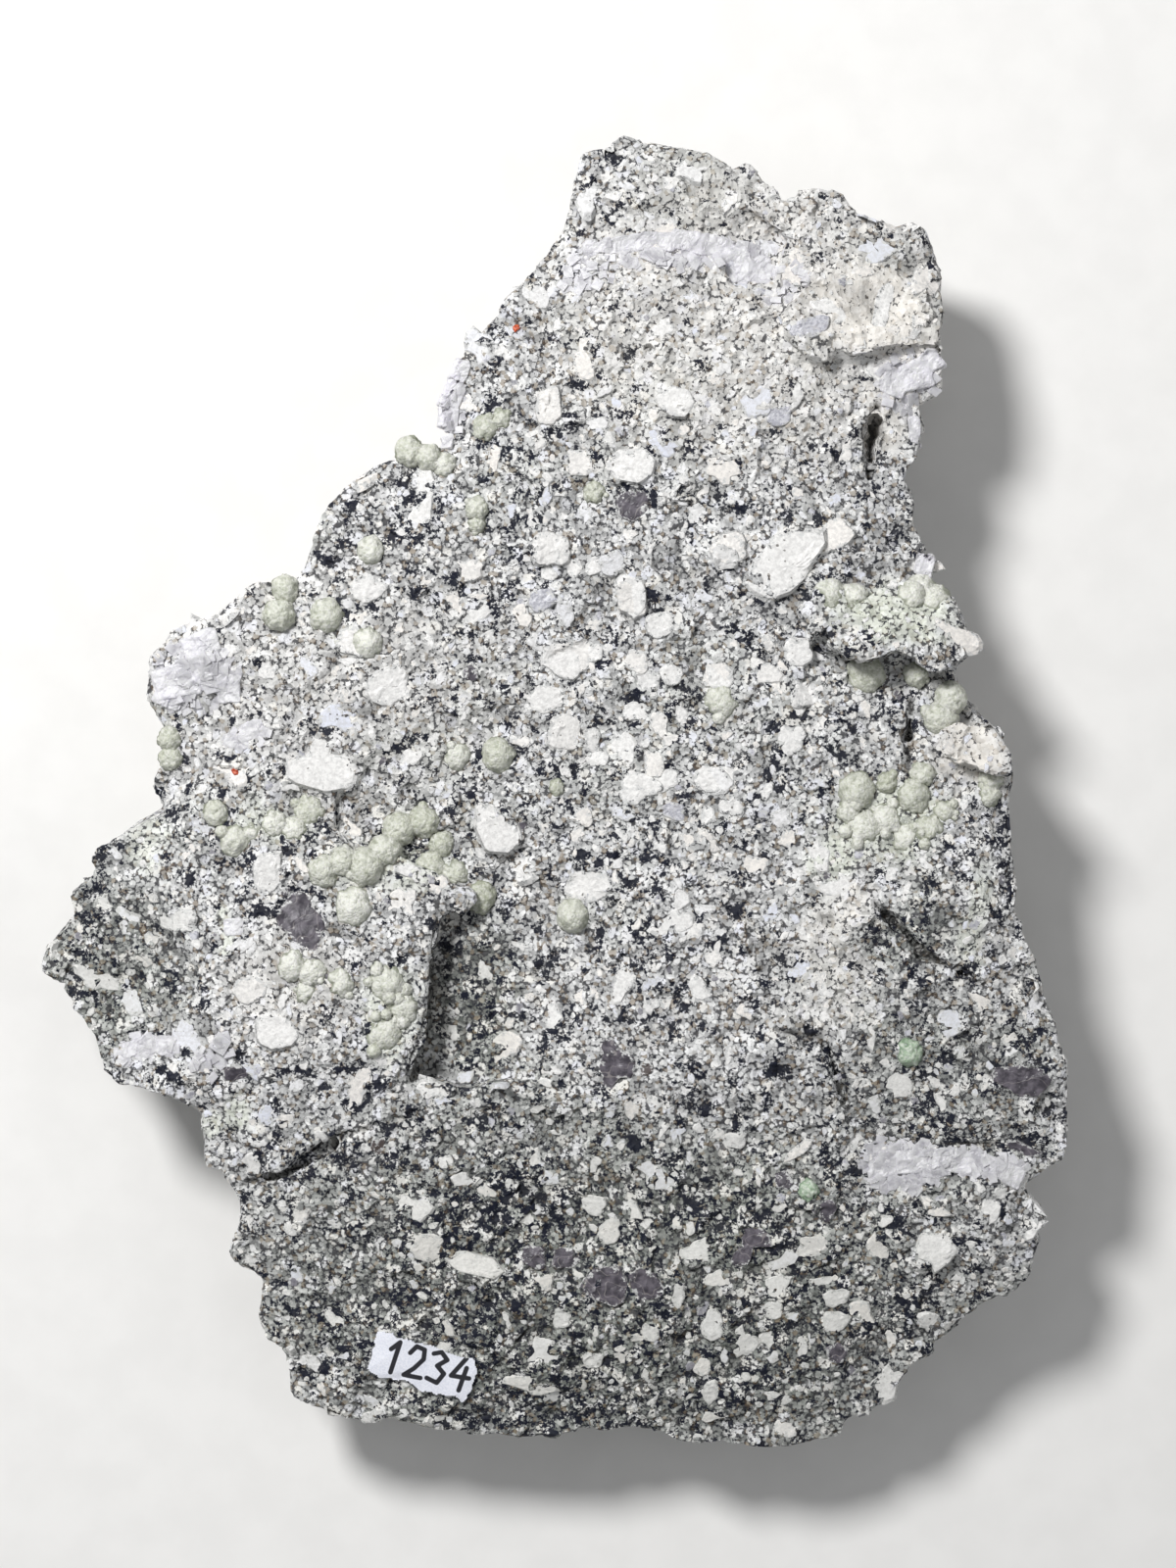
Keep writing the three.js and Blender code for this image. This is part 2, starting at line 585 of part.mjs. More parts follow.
// A fluorite ball is round but stepped, so it is a subdivided icosahedron with uneven corners, or a
// dodecahedron where it is small
const SMALL_BALL = 2.05;
const UNEVEN_CORNERS = 0.05;
const FLATTENED = 0.92;
function ball(centre, radius, seed) {
  const shape =
    radius > SMALL_BALL ? new THREE.IcosahedronGeometry(radius, 1) : new THREE.DodecahedronGeometry(radius);
  shape.deleteAttribute("normal");
  shape.deleteAttribute("uv");
  const merged = mergeVertices(shape, 1e-4);
  const position = merged.attributes.position;
  for (let i = 0; i < position.count; i++) {
    const corner = new THREE.Vector3().fromBufferAttribute(position, i);
    corner.multiplyScalar(1 + UNEVEN_CORNERS * hash(i, seed, 41));
    position.setXYZ(i, corner.x, corner.y, corner.z * FLATTENED);
  }
  merged.rotateZ(seed);
  merged.translate(centre.x, centre.y, centre.z);
  return solidOf(merged);
}

function fluorite(rock, balls) {
  let cluster = null;
  let level = 0;
  balls.forEach(([px, py, diameterPixels], i) => {
    const spot = place([px, py]);
    const diameter = diameterPixels / PIXELS_PER_MM;
    const free = surface(rock, spot.x, spot.y) + diameter * (BALL_RISE + BALL_UNEVEN * hash(px, py, 42));
    const step = BALL_STEP * diameter;
    const z = i === 0 ? free : Math.min(level + step, Math.max(level - step, free));
    level = z;
    const made = ball(new THREE.Vector3(spot.x, spot.y, z), diameter / 2, px + i);
    cluster = cluster ? cluster.add(made) : made;
  });
  return seatedOn(rock, cluster);
}

function block(rock, [px, py, lengthPixels, widthPixels, turn, proud]) {
  const spot = place([px, py]);
  const top = surface(rock, spot.x, spot.y) + proud;
  return tablet([px, py, lengthPixels, widthPixels, turn], top, top - proud - CALCITE_DEPTH);
}

function calcite(rock, blocks) {
  const joined = blocks.map((shape) => block(rock, shape)).reduce((all, next) => all.add(next));
  return seatedOn(rock, joined);
}

// The paper lies on the rock, so it is the rock's own surface lifted, inside the label's outline
const LABEL_REGION = [-30, -71, 0, -50];
function numberLabel(rock) {
  const outline = prism(places(LABEL_PIXELS), BELOW_ALL, ABOVE_ALL);
  const front = rock.intersect(column(...LABEL_REGION));
  const thick = front.translate([0, 0, SEAT_GAP + PAPER_THICKNESS]).intersect(outline);
  return largest(thick.subtract(front.translate([0, 0, SEAT_GAP])).subtract(front));
}

function meshOf(solid, name, material) {
  const { vertProperties, triVerts, numProp } = solid.getMesh();
  const corners = new Float32Array((vertProperties.length / numProp) * 3);
  for (let i = 0; i < corners.length / 3; i++) {
    corners.set(vertProperties.subarray(i * numProp, i * numProp + 3), i * 3);
  }
  const geometry = new THREE.BufferGeometry();
  geometry.setAttribute("position", new THREE.BufferAttribute(corners, 3));
  geometry.setIndex(new THREE.BufferAttribute(new Uint32Array(triVerts), 1));
  geometry.computeVertexNormals();
  const mesh = new THREE.Mesh(geometry, material);
  mesh.name = name;
  return mesh;
}

const specimen = new THREE.Group();
specimen.name = "fluorite_and_calcite_specimen";

const rock = makeRock();
specimen.add(meshOf(rock, "rock_matrix", COLOURS.rock));

// Clusters that touch a neighbour made before them give way to it
const placed = [];
function add(name, solid, material) {
  let own = solid;
  for (const other of placed) {
    if (own.intersect(other).volume() > 0) own = seatedOn(other, own);
  }
  placed.push(own);
  specimen.add(meshOf(own, name, material));
}

for (const [name, balls] of Object.entries(FLUORITE)) add(name, fluorite(rock, balls), COLOURS.fluorite);
for (const [name, blocks] of Object.entries(CALCITE)) add(name, calcite(rock, blocks), COLOURS.calcite);
add("number_label", numberLabel(rock), COLOURS.paper);

export default specimen;
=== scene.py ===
"""Looks of the fluorite and calcite specimen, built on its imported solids, in metres."""

import itertools
import math

import bmesh
import bpy
import numpy as np
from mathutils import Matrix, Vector
from mathutils.bvhtree import BVHTree


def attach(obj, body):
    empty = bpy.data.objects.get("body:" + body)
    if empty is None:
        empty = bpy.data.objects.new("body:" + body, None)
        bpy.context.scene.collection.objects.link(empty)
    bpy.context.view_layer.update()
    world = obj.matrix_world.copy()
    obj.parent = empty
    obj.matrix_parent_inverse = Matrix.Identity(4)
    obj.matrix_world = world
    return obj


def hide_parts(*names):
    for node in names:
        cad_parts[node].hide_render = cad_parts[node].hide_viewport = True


# Measures are millimetres until a mesh is made. Places on the front are read from a 1200 x 1600 picture of
# it, in its pixels.
MM = 0.001
PIXELS_PER_MM = 1347 / 141.8
MIDDLE_PIXEL = (566.5, 811.5)
PICTURE = (1200, 1600)

ROCK_VOXEL = 0.42
ROCK_TRIANGLES = 190_000
FACE_LEVEL = 20.0
FRONT_LEVEL = 12.0  # the front is above this
RIM_LEVEL = 10.0  # only the rim and the back are below this
LOWEST = 0.03
SKY = 60.0  # where rays start, above everything
DOWN = Vector((0, 0, -1))
TURN = 6.3  # about a full turn in radians

# Fluorite balls by cluster: centre and diameter in pixels, and tone from pale (0) to olive (1). A cluster's
# solid has the same name after "fluorite_".
FLUORITE = {
    "rim_trio": [(417, 460, 31, 0.5), (437, 466, 27, 0.4), (453, 473, 25, 0.1)],
    "upper_pair": [(496, 436, 29, 0.6), (512, 426, 27, 0.5)],
    "upper_stack": [(486, 519, 25, 0.5), (486, 534, 22, 0.6)],
    "upper_single": [(607, 503, 24, 0.7)],
    "left_crescent": [(378, 562, 29, 0.2)],
    "left_rim_pair": [(290, 601, 29, 0.5), (284, 627, 32, 0.5)],
    "left_square": [(333, 628, 36, 0.5)],
    "beside_feldspar": [(374, 656, 34, 0.1)],
    "left_edge_chips": [(171, 754, 25, 0.6), (172, 774, 25, 0.6)],
    "arc_head": [(220, 829, 28, 0.4)],
    "left_arc": [
        (238, 857, 36, 0.3), (258, 848, 30, 0.0), (278, 841, 30, 0.0), (299, 848, 34, 0.1),
        (314, 828, 38, 0.5),
    ],
    "centre_arc": [
        (330, 889, 34, 0.4), (350, 879, 30, 0.4), (371, 884, 38, 0.5), (392, 868, 34, 0.4),
        (406, 846, 34, 0.6), (432, 839, 36, 0.8), (449, 861, 32, 0.7), (439, 885, 32, 0.5),
        (463, 892, 34, 0.5),
    ],
    "dark_ball": [(489, 915, 35, 1.0)],
    "plate_rosette": [(360, 925, 44, 0.0)],
    "plate_balls": [(297, 985, 34, 0.0), (319, 992, 30, 0.0), (312, 1012, 26, 0.1)],
    "plate_ball": [(348, 1002, 32, 0.0)],
    "plate_edge": [(394, 1003, 42, 0.3), (410, 1029, 36, 0.3), (390, 1054, 42, 0.3)],
    "centre_low": [(585, 935, 34, 0.5)],
    "centre_grey": [(508, 770, 36, 0.6)],
    "centre_pale": [(466, 771, 30, 0.1)],
    "centre_right": [(737, 716, 38, 0.3)],
    "small_grey": [(567, 803, 18, 0.8)],
    "ledge_left": [(846, 611, 38, 0.1), (870, 612, 32, 0.1)],
    "ledge_right": [(928, 612, 38, 0.1), (952, 617, 42, 0.15), (940, 601, 34, 0.05)],
    "under_ledge": [(884, 688, 40, 0.6)],
    "right_crevice": [(936, 688, 26, 0.5)],
    "right_slope": [(971, 713, 34, 0.4), (961, 733, 35, 0.4)],
    "nest_left": [(874, 806, 40, 0.5), (866, 829, 28, 0.3)],
    "nest_small": [(906, 798, 24, 0.9)],
    "nest_middle": [(932, 812, 36, 0.6), (942, 790, 26, 0.5)],
    "nest_low": [
        (882, 846, 40, 0.1), (905, 836, 36, 0.1), (925, 856, 34, 0.15), (948, 847, 36, 0.4),
        (964, 829, 30, 0.4),
    ],
    "right_rim": [(1009, 810, 28, 0.4), (1012, 796, 24, 0.4)],
    "green_upper": [(928, 1073, 30, 0.5)],
    "green_lower": [(826, 1216, 25, 0.5)],
}
BRIGHT_GREEN = ("green_upper", "green_lower")

# Clusters that lie low like a crust, and how much of their height they keep
LOW_CLUSTERS = {
    "plate_rosette": 0.45, "plate_balls": 0.5, "plate_ball": 0.5, "plate_edge": 0.45, "left_arc": 0.45,
    "nest_low": 0.4, "ledge_left": 0.2, "ledge_right": 0.2, "centre_pale": 0.45, "centre_grey": 0.6,
    "beside_feldspar": 0.5, "centre_right": 0.5, "green_upper": 0.35, "green_lower": 0.35,
}
OTHER_CLUSTERS = 0.72
CRUMBLY = ("nest_low", "plate_edge")  # with more small balls than the others

# White feldspars seen one by one: centre, length and width in pixels, and any turn in degrees
FELDSPARS = [
    (562, 560, 38, 36), (744, 560, 34, 34), (582, 672, 46, 36, 10), (282, 1052, 42, 36),
    (901, 312, 48, 18, 75), (645, 610, 30, 38), (815, 665, 30, 28, 20), (560, 415, 28, 38),
    (592, 472, 28, 26), (375, 600, 32, 30, 30), (395, 700, 46, 36, 10), (735, 690, 30, 24),
    (820, 710, 24, 28), (730, 795, 44, 28), (655, 800, 42, 22, -20), (600, 905, 46, 32),
    (435, 1275, 32, 28), (255, 1010, 32, 28, 20), (360, 655, 34, 30), (848, 548, 44, 32, 30),
]

# Smoky quartz seen one by one, in the same way
QUARTZ = [
    (659, 1091, 14, 13), (545, 1285, 26, 24), (577, 1287, 26, 24), (480, 687, 15, 17), (385, 1170, 15, 15),
    (240, 1095, 26, 16), (292, 910, 10, 9),
]
PALE_QUARTZ = [
    (826, 336, 40, 22, 15), (795, 425, 26, 22), (750, 272, 24, 26), (553, 612, 28, 24), (688, 828, 24, 18),
]

# Grains that are large enough for an outline of their own, in pixels
FELDSPAR_OUTLINES = [
    [
        (291, 776), (314, 770), (319, 750), (337, 750), (338, 770), (358, 771), (367, 789), (365, 804),
        (332, 810), (292, 798),
    ],
    [(266, 870), (288, 870), (288, 899), (279, 912), (260, 911), (258, 883)],
    [(486, 820), (505, 822), (530, 842), (535, 856), (520, 872), (495, 870), (484, 845)],
    [
        (757, 600), (768, 574), (793, 543), (842, 541), (845, 556), (830, 576), (822, 592), (806, 606),
        (783, 614),
    ],
    [(618, 470), (631, 459), (659, 458), (670, 470), (667, 485), (652, 495), (629, 491), (618, 480)],
    [(667, 405), (685, 393), (704, 399), (710, 412), (700, 427), (685, 427), (671, 416)],
    [
        (936, 1273), (942, 1260), (967, 1260), (980, 1277), (971, 1290), (955, 1302), (950, 1290),
        (938, 1286),
    ],
    [(453, 1286), (470, 1277), (505, 1286), (516, 1300), (505, 1308), (482, 1303), (461, 1297)],
]
QUARTZ_OUTLINES = [
    [
        (610, 1078), (615, 1061), (625, 1060), (633, 1070), (650, 1078), (648, 1100), (632, 1101),
        (626, 1112), (614, 1108),
    ],
    [
        (282, 934), (291, 919), (301, 907), (316, 912), (318, 925), (332, 938), (332, 947), (325, 971),
        (312, 971), (296, 956), (282, 943),
    ],
    [(589, 1315), (606, 1297), (632, 1294), (641, 1309), (638, 1332), (627, 1338), (606, 1329)],
    [(641, 1303), (653, 1296), (667, 1300), (680, 1317), (673, 1329), (653, 1329), (644, 1317)],
    [(627, 508), (633, 502), (663, 500), (661, 521), (646, 534), (631, 528)],
    [
        (1013, 1090), (1043, 1087), (1068, 1092), (1076, 1105), (1060, 1120), (1039, 1120), (1026, 1110),
        (1013, 1105),
    ],
    [(1024, 1166), (1039, 1164), (1070, 1181), (1055, 1184), (1034, 1174)],
    [(791, 1200), (803, 1195), (812, 1208), (805, 1216), (793, 1214)],
    [(837, 1227), (852, 1225), (856, 1235), (845, 1252), (837, 1244)],
    [
        (753, 1252), (774, 1252), (787, 1263), (791, 1277), (770, 1273), (766, 1294), (749, 1296),
        (745, 1286), (757, 1273),
    ],
    [(843, 1380), (858, 1374), (869, 1384), (862, 1397), (848, 1395)],
]
# Two garnets and the small feldspars, in the same way
GARNETS = [
    (527, 334, 9, 9), (240, 788, 9, 8),
]
SMALL_FELDSPARS = [
    (574, 673, 42, 38), (607, 666, 18, 18), (673, 637, 34, 24, 20), (644, 608, 32, 42), (624, 575, 24, 26),
    (606, 578, 18, 18), (586, 579, 18, 18), (560, 566, 22, 22), (560, 585, 16, 16), (577, 625, 20, 26),
    (650, 675, 22, 26), (662, 694, 28, 20), (685, 688, 26, 20), (732, 688, 30, 26), (648, 726, 28, 18),
    (673, 738, 18, 26), (558, 713, 38, 28), (576, 746, 36, 40), (727, 797, 48, 24), (646, 811, 24, 22),
    (675, 797, 34, 24), (667, 780, 20, 30), (723, 832, 18, 18), (746, 824, 24, 18), (797, 835, 22, 18),
    (807, 755, 30, 30), (815, 717, 16, 28), (740, 570, 30, 24), (785, 656, 14, 20), (816, 663, 22, 24),
    (595, 834, 22, 18), (604, 755, 18, 24), (611, 774, 20, 18), (605, 1392, 20, 20), (664, 1364, 18, 18),
    (693, 1325, 14, 22), (791, 1341, 20, 18), (855, 1328, 26, 20), (855, 1353, 26, 24),
    (728, 1357, 24, 30), (718, 1401, 18, 18), (726, 1427, 18, 24), (751, 1165, 22, 20),
    (606, 1232, 28, 20), (622, 1259, 24, 26), (705, 1256, 10, 14), (573, 1349, 20, 20),
    (830, 1274, 32, 22), (816, 1175, 32, 12, 40),
]

# Broad patches of the rock by kind: middle, half-width and half-height in pixels, turn, and strength
ZONES = {
    # Darker rock; the patch at (482, 1030) is painted shade in the recess beside the raised plate.
    "dark": [
        (620, 1330, 520, 260, 0, 1.0), (110, 975, 110, 130, 0, 0.8), (960, 1120, 150, 150, 0, 0.6),
        (482, 1030, 74, 125, 0, 1.0), (560, 1180, 240, 110, 0, 0.6), (895, 262, 48, 36, 0, 0.5),
        (935, 955, 70, 60, 0, 0.8),
    ],
    "pale": [
        (885, 318, 106, 66, -10, 1.0), (990, 768, 52, 46, -20, 1.0), (760, 310, 270, 230, 0, 0.4),
        (930, 350, 50, 90, 0, 0.7), (850, 950, 40, 70, -30, 0.5), (320, 700, 260, 180, 0, 0.2),
        (300, 1000, 90, 90, 0, 0.35), (905, 430, 40, 50, 0, 0.6), (850, 1000, 70, 60, 30, 0.35),
    ],
    "green": [
        (1000, 930, 24, 66, -10, 0.5), (905, 628, 85, 34, 0, 0.8), (905, 845, 75, 55, 0, 0.7),
        (850, 880, 36, 32, 0, 0.7), (398, 1040, 36, 70, 5, 0.6), (400, 880, 90, 34, -5, 0.5),
        (245, 1140, 24, 28, 0, 0.7), (215, 1155, 20, 20, 0, 0.6), (224, 947, 14, 22, 0, 0.6),
        (150, 862, 34, 30, 0, 0.5), (360, 650, 26, 22, 0, 0.4), (280, 845, 60, 26, 0, 0.5),
    ],
}

# Where small blocks of calcite lie: middle, half-width and half-height in pixels, turn, and their count
CALCITE_SPREAD = [
    (690, 258, 105, 18, 2, 110), (600, 278, 30, 20, 20, 30), (780, 276, 46, 30, -20, 50),
    (925, 390, 32, 32, 0, 60), (198, 690, 46, 40, 0, 120), (250, 750, 24, 14, 20, 16),
    (922, 1190, 46, 28, -3, 130), (1000, 1189, 52, 15, -6, 60), (145, 1072, 36, 14, 10, 40),
    (460, 420, 14, 34, -20, 30), (215, 1085, 20, 16, 0, 12), (225, 1068, 12, 12, 0, 8),
]

# Cracks as routes in pixels, with their width and depth in millimetres
CRACKS = [
    (((897, 415), (890, 445), (889, 486)), 0.8, 1.6),
    (((932, 716), (928, 750), (926, 792)), 0.7, 0.8),
    (((893, 922), (918, 945), (944, 974), (1004, 1004)), 0.6, 0.6),
    (((790, 1050), (838, 1058), (849, 1092), (865, 1132)), 0.55, 0.5),
    (((246, 1212), (290, 1198), (330, 1180), (347, 1160), (382, 1150)), 0.55, 0.6),
    # This route follows the foot of the raised plate: its groove carries painted shadow of the plate's wall.
    (((447, 930), (443, 985), (437, 1030), (426, 1070), (417, 1102)), 0.7, 0.4),
    (((470, 1330), (498, 1300), (520, 1270)), 0.4, 0.35),
    (((500, 1412), (518, 1385), (540, 1360)), 0.4, 0.35),
    (((720, 1070), (745, 1050)), 0.4, 0.35),
    (((895, 1163), (940, 1166), (1020, 1170)), 0.5, 0.5),
]

# Where the raised plate at the lower left ends, in pixels
PLATE_EDGE = [(470, 926), (449, 934), (444, 965), (437, 1000), (434, 1040), (426, 1076), (413, 1107)]

# The label's torn outline, and the ends of its middle line, in pixels
LABEL = [
    (383, 1363), (397, 1363), (408, 1369), (440, 1377), (462, 1386), (483, 1391), (486, 1402), (482, 1422),
    (470, 1439), (462, 1431), (438, 1427), (424, 1424), (416, 1414), (384, 1411), (373, 1401), (377, 1386),
]
LABEL_MIDDLE = ((390, 1393.5), (470, 1429.5))


def place(px, py):
    """Millimetres on the front from a pixel."""
    return np.array([(px - MIDDLE_PIXEL[0]) / PIXELS_PER_MM, (MIDDLE_PIXEL[1] - py) / PIXELS_PER_MM])


# Noise that is the same on every run

LATTICE_PRIMES = (374761393, 668265263, 2246822519, 3266489917)
MIXING = ((13, 1274126177), (15, 2654435761))


def scramble(i, j, k, salt):
    """Numbers in 0..1 from whole lattice numbers."""
    h = i.astype(np.uint32) * np.uint32(LATTICE_PRIMES[0])
    h ^= j.astype(np.uint32) * np.uint32(LATTICE_PRIMES[1])
    h ^= k.astype(np.uint32) * np.uint32(LATTICE_PRIMES[2])
    h ^= np.uint32((salt * LATTICE_PRIMES[3]) % 2**32)
    for shift, factor in MIXING:
        h = (h ^ (h >> np.uint32(shift))) * np.uint32(factor)
    return (h ^ (h >> np.uint32(16))).astype(float) / 2**32


def noise(points, size, salt):
    """Smooth noise, -1 to 1."""
    q = points / size
    base = np.floor(q).astype(np.int64)
    f = q - base
    f = f * f * (3 - 2 * f)
    total = np.zeros(len(points))
    for corner in itertools.product((0, 1), repeat=3):
        weight = np.where(corner, f, 1 - f).prod(axis=1)
        total += weight * scramble(*(base + corner).T, salt)
    return total * 2 - 1


def facets(points, size, salt, tilt, step):
    """Height of a surface broken into cells of about that size, each tilted and stepped in its own way."""
    warp = np.stack([noise(points, size * 0.8, salt + n) for n in (1, 2, 3)], axis=1) * size * 0.25
    q = (points + warp) / size
    base = np.floor(q).astype(np.int64)
    nearest = np.full(len(points), np.inf)
    height = np.zeros(len(points))
    for neighbour in itertools.product((-1, 0, 1), repeat=3):
        cell = base + neighbour
        rand = [scramble(*cell.T, salt + n) for n in range(10, 17)]
        offset = q - (cell + np.stack(rand[:3], axis=1))
        far = np.einsum("ij,ij->i", offset, offset)
        slope = (np.stack(rand[3:6], axis=1) - 0.5) * 2 * tilt * size
        own = np.einsum("ij,ij->i", offset, slope) + (rand[6] - 0.5) * 2 * step
        closer = far < nearest
        nearest = np.where(closer, far, nearest)
        height = np.where(closer, own, height)
    return height


# Meshes


def new_piece(name, points, faces, material, attributes=None, smooth=False):
    """A mesh object from millimetre points and triangles, with named numbers on its points."""
    mesh = bpy.data.meshes.new(name)
    mesh.vertices.add(len(points))
    mesh.vertices.foreach_set("co", (points * MM).astype(np.float32).ravel())
    mesh.loops.add(faces.size)
    mesh.loops.foreach_set("vertex_index", faces.astype(np.int32).ravel())
    mesh.polygons.add(len(faces))
    mesh.polygons.foreach_set("loop_start", np.arange(0, faces.size, 3, dtype=np.int32))
    mesh.update(calc_edges=True)
    mesh.validate()
    mesh.polygons.foreach_set("use_smooth", np.full(len(mesh.polygons), smooth))
    for key, values in (attributes or {}).items():
        layer = mesh.attributes.new(key, "FLOAT", "POINT")
        layer.data.foreach_set("value", values.astype(np.float32))
    mesh.materials.append(material)
    piece = bpy.data.objects.new(name, mesh)
    bpy.context.scene.collection.objects.link(piece)
    return piece


def finish_piece(piece, slot, *nodes):
    """Sets a piece on the object, in place of the solids that it dresses."""
    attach(piece, "root")
    if nodes:
        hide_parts(*nodes)


def read_mesh(mesh):
    """Points in millimetres, triangles and point normals of a mesh."""
    points = np.empty((len(mesh.vertices), 3), np.float32)
    mesh.vertices.foreach_get("co", points.ravel())
    normals = np.empty((len(mesh.vertices), 3), np.float32)
    mesh.vertices.foreach_get("normal", normals.ravel())
    mesh.calc_loop_triangles()
    faces = np.empty((len(mesh.loop_triangles), 3), np.int32)
    mesh.loop_triangles.foreach_get("vertices", faces.ravel())
    return points.astype(float) / MM, faces, normals.astype(float)


def evaluated(mesh, modifiers, group=None):
    """The mesh after these modifiers, each a kind and its settings."""
    holder = bpy.data.objects.new("holder", mesh)
    bpy.context.scene.collection.objects.link(holder)
    if group is not None:
        made = holder.vertex_groups.new(name="chosen")
        made.add(np.flatnonzero(group).tolist(), 1.0, "REPLACE")
    for kind, settings in modifiers:
        modifier = holder.modifiers.new(kind.lower(), kind)
        for key, value in settings.items():
            setattr(modifier, key, value)
    graph = bpy.context.evaluated_depsgraph_get()
    result = bpy.data.meshes.new_from_object(holder.evaluated_get(graph))
    bpy.data.objects.remove(holder)
    return result


def remeshed(node, voxel):
    """A solid's mesh again, in even small faces."""
    settings = {"mode": "VOXEL", "voxel_size": voxel * MM}
    return evaluated(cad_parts[node].data.copy(), [("REMESH", settings)])


# Nodes of a material


class Nodes:
    """Builds a material's nodes in few words. Sizes are in millimetres."""

    def __init__(self, name):
        self.material = bpy.data.materials.new(name)
        self.material.use_nodes = True
        self.tree = self.material.node_tree
        self.shader = self.tree.nodes["Principled BSDF"]
        self.mm = self.vector("MULTIPLY", self.node("TexCoord").outputs["Object"], (1 / MM,) * 3)

    def link(self, value, socket):
        if isinstance(value, bpy.types.NodeSocket):
            self.tree.links.new(value, socket)
        elif isinstance(value, tuple) and socket.type == "RGBA":
            socket.default_value = (*value, 1)
        else:
            socket.default_value = value

    def node(self, kind, *values, **settings):
        """A new node with its settings. Its first inputs take the values in order."""
        node = self.tree.nodes.new("ShaderNode" + kind)
        for key, value in settings.items():
            setattr(node, key, value)
        for socket, value in zip(node.inputs, values):
            self.link(value, socket)
        return node

    def vector(self, operation, a, b):
        return self.node("VectorMath", a, b, operation=operation).outputs[0]

    def math(self, operation, a, b=0.0):
        return self.node("Math", a, b, operation=operation).outputs[0]

    def add(self, a, b):
        return self.math("ADD", a, b)

    def minus(self, a, b):
        return self.math("SUBTRACT", a, b)

    def times(self, a, b):
        return self.math("MULTIPLY", a, b)

    def noise(self, size, detail=2, roughness=0.5, shift=0.0):
        """Noise with features of that size."""
        node = self.node("TexNoise", self.vector("ADD", self.mm, (shift,) * 3))
        for key, value in (("Scale", 1 / size), ("Detail", detail), ("Roughness", roughness)):
            node.inputs[key].default_value = value
        return node.outputs[0]

    def cells(self, size, warp, shift=0.0):
        """Distance to the middle of a cell, and a random colour for each cell."""
        wobble = self.node("TexNoise", self.mm)
        wobble.inputs["Scale"].default_value = 2 / size
        moved = self.vector("ADD", self.mm, self.vector("MULTIPLY", wobble.outputs[1], (warp * size,) * 3))
        node = self.node("TexVoronoi", self.vector("ADD", moved, (shift,) * 3))
        node.inputs["Scale"].default_value = 1 / size
        return node.outputs["Distance"], node.outputs["Color"]

    def part(self, colour, channel=0):
        return self.node("SeparateColor", colour).outputs[channel]

    def between(self, value, low, high, out_low=0.0, out_high=1.0):
        """A smooth step from one value to another, between two levels."""
        ends = (low, high, out_low, out_high)
        return self.node("MapRange", value, *ends, interpolation_type="SMOOTHSTEP").outputs[0]

    def mix(self, amount, a, b, kind="MIX"):
        node = self.node("Mix", amount, data_type="RGBA", blend_type=kind)
        colours = [socket for socket in node.inputs if socket.type == "RGBA"]
        self.link(a, colours[0])
        self.link(b, colours[1])
        return next(socket for socket in node.outputs if socket.type == "RGBA")

    def attribute(self, name):
        return self.node("Attribute", attribute_name=name).outputs["Fac"]

    def bump(self, height, depth, strength=1.0, under=None):
        """A bump of that depth, on top of another one where it is given."""
        node = self.node("Bump")
        node.inputs["Strength"].default_value = strength
        node.inputs["Distance"].default_value = depth * MM
        self.link(height, node.inputs["Height"])
        if under is not None:
            self.link(under, node.inputs["Normal"])
        return node.outputs[0]

    def set(self, **values):
        """Sets the shader's inputs, with _ for a space in their names."""
        for key, value in values.items():
            self.link(value, self.shader.inputs[key.replace("_", " ")])
        return self.material


def salt_and_pepper(m):
    """The finest grains of the rock, 0.1 to 0.3 mm."""
    return m.noise(0.34, detail=4, roughness=0.72)


def past_worn_rim(m, fine, start, full):
    """0 at a grain's ragged rim, where the fine grains of the rock begin, and 1 inside it."""
    ragged = m.noise(0.75, detail=4, roughness=0.65, shift=33)
    worn = m.add(m.attribute("edge"), m.times(m.minus(ragged, 0.5), 4.2))
    worn = m.add(worn, m.times(m.minus(fine, 0.5), 1.6))
    return m.between(worn, start, full)


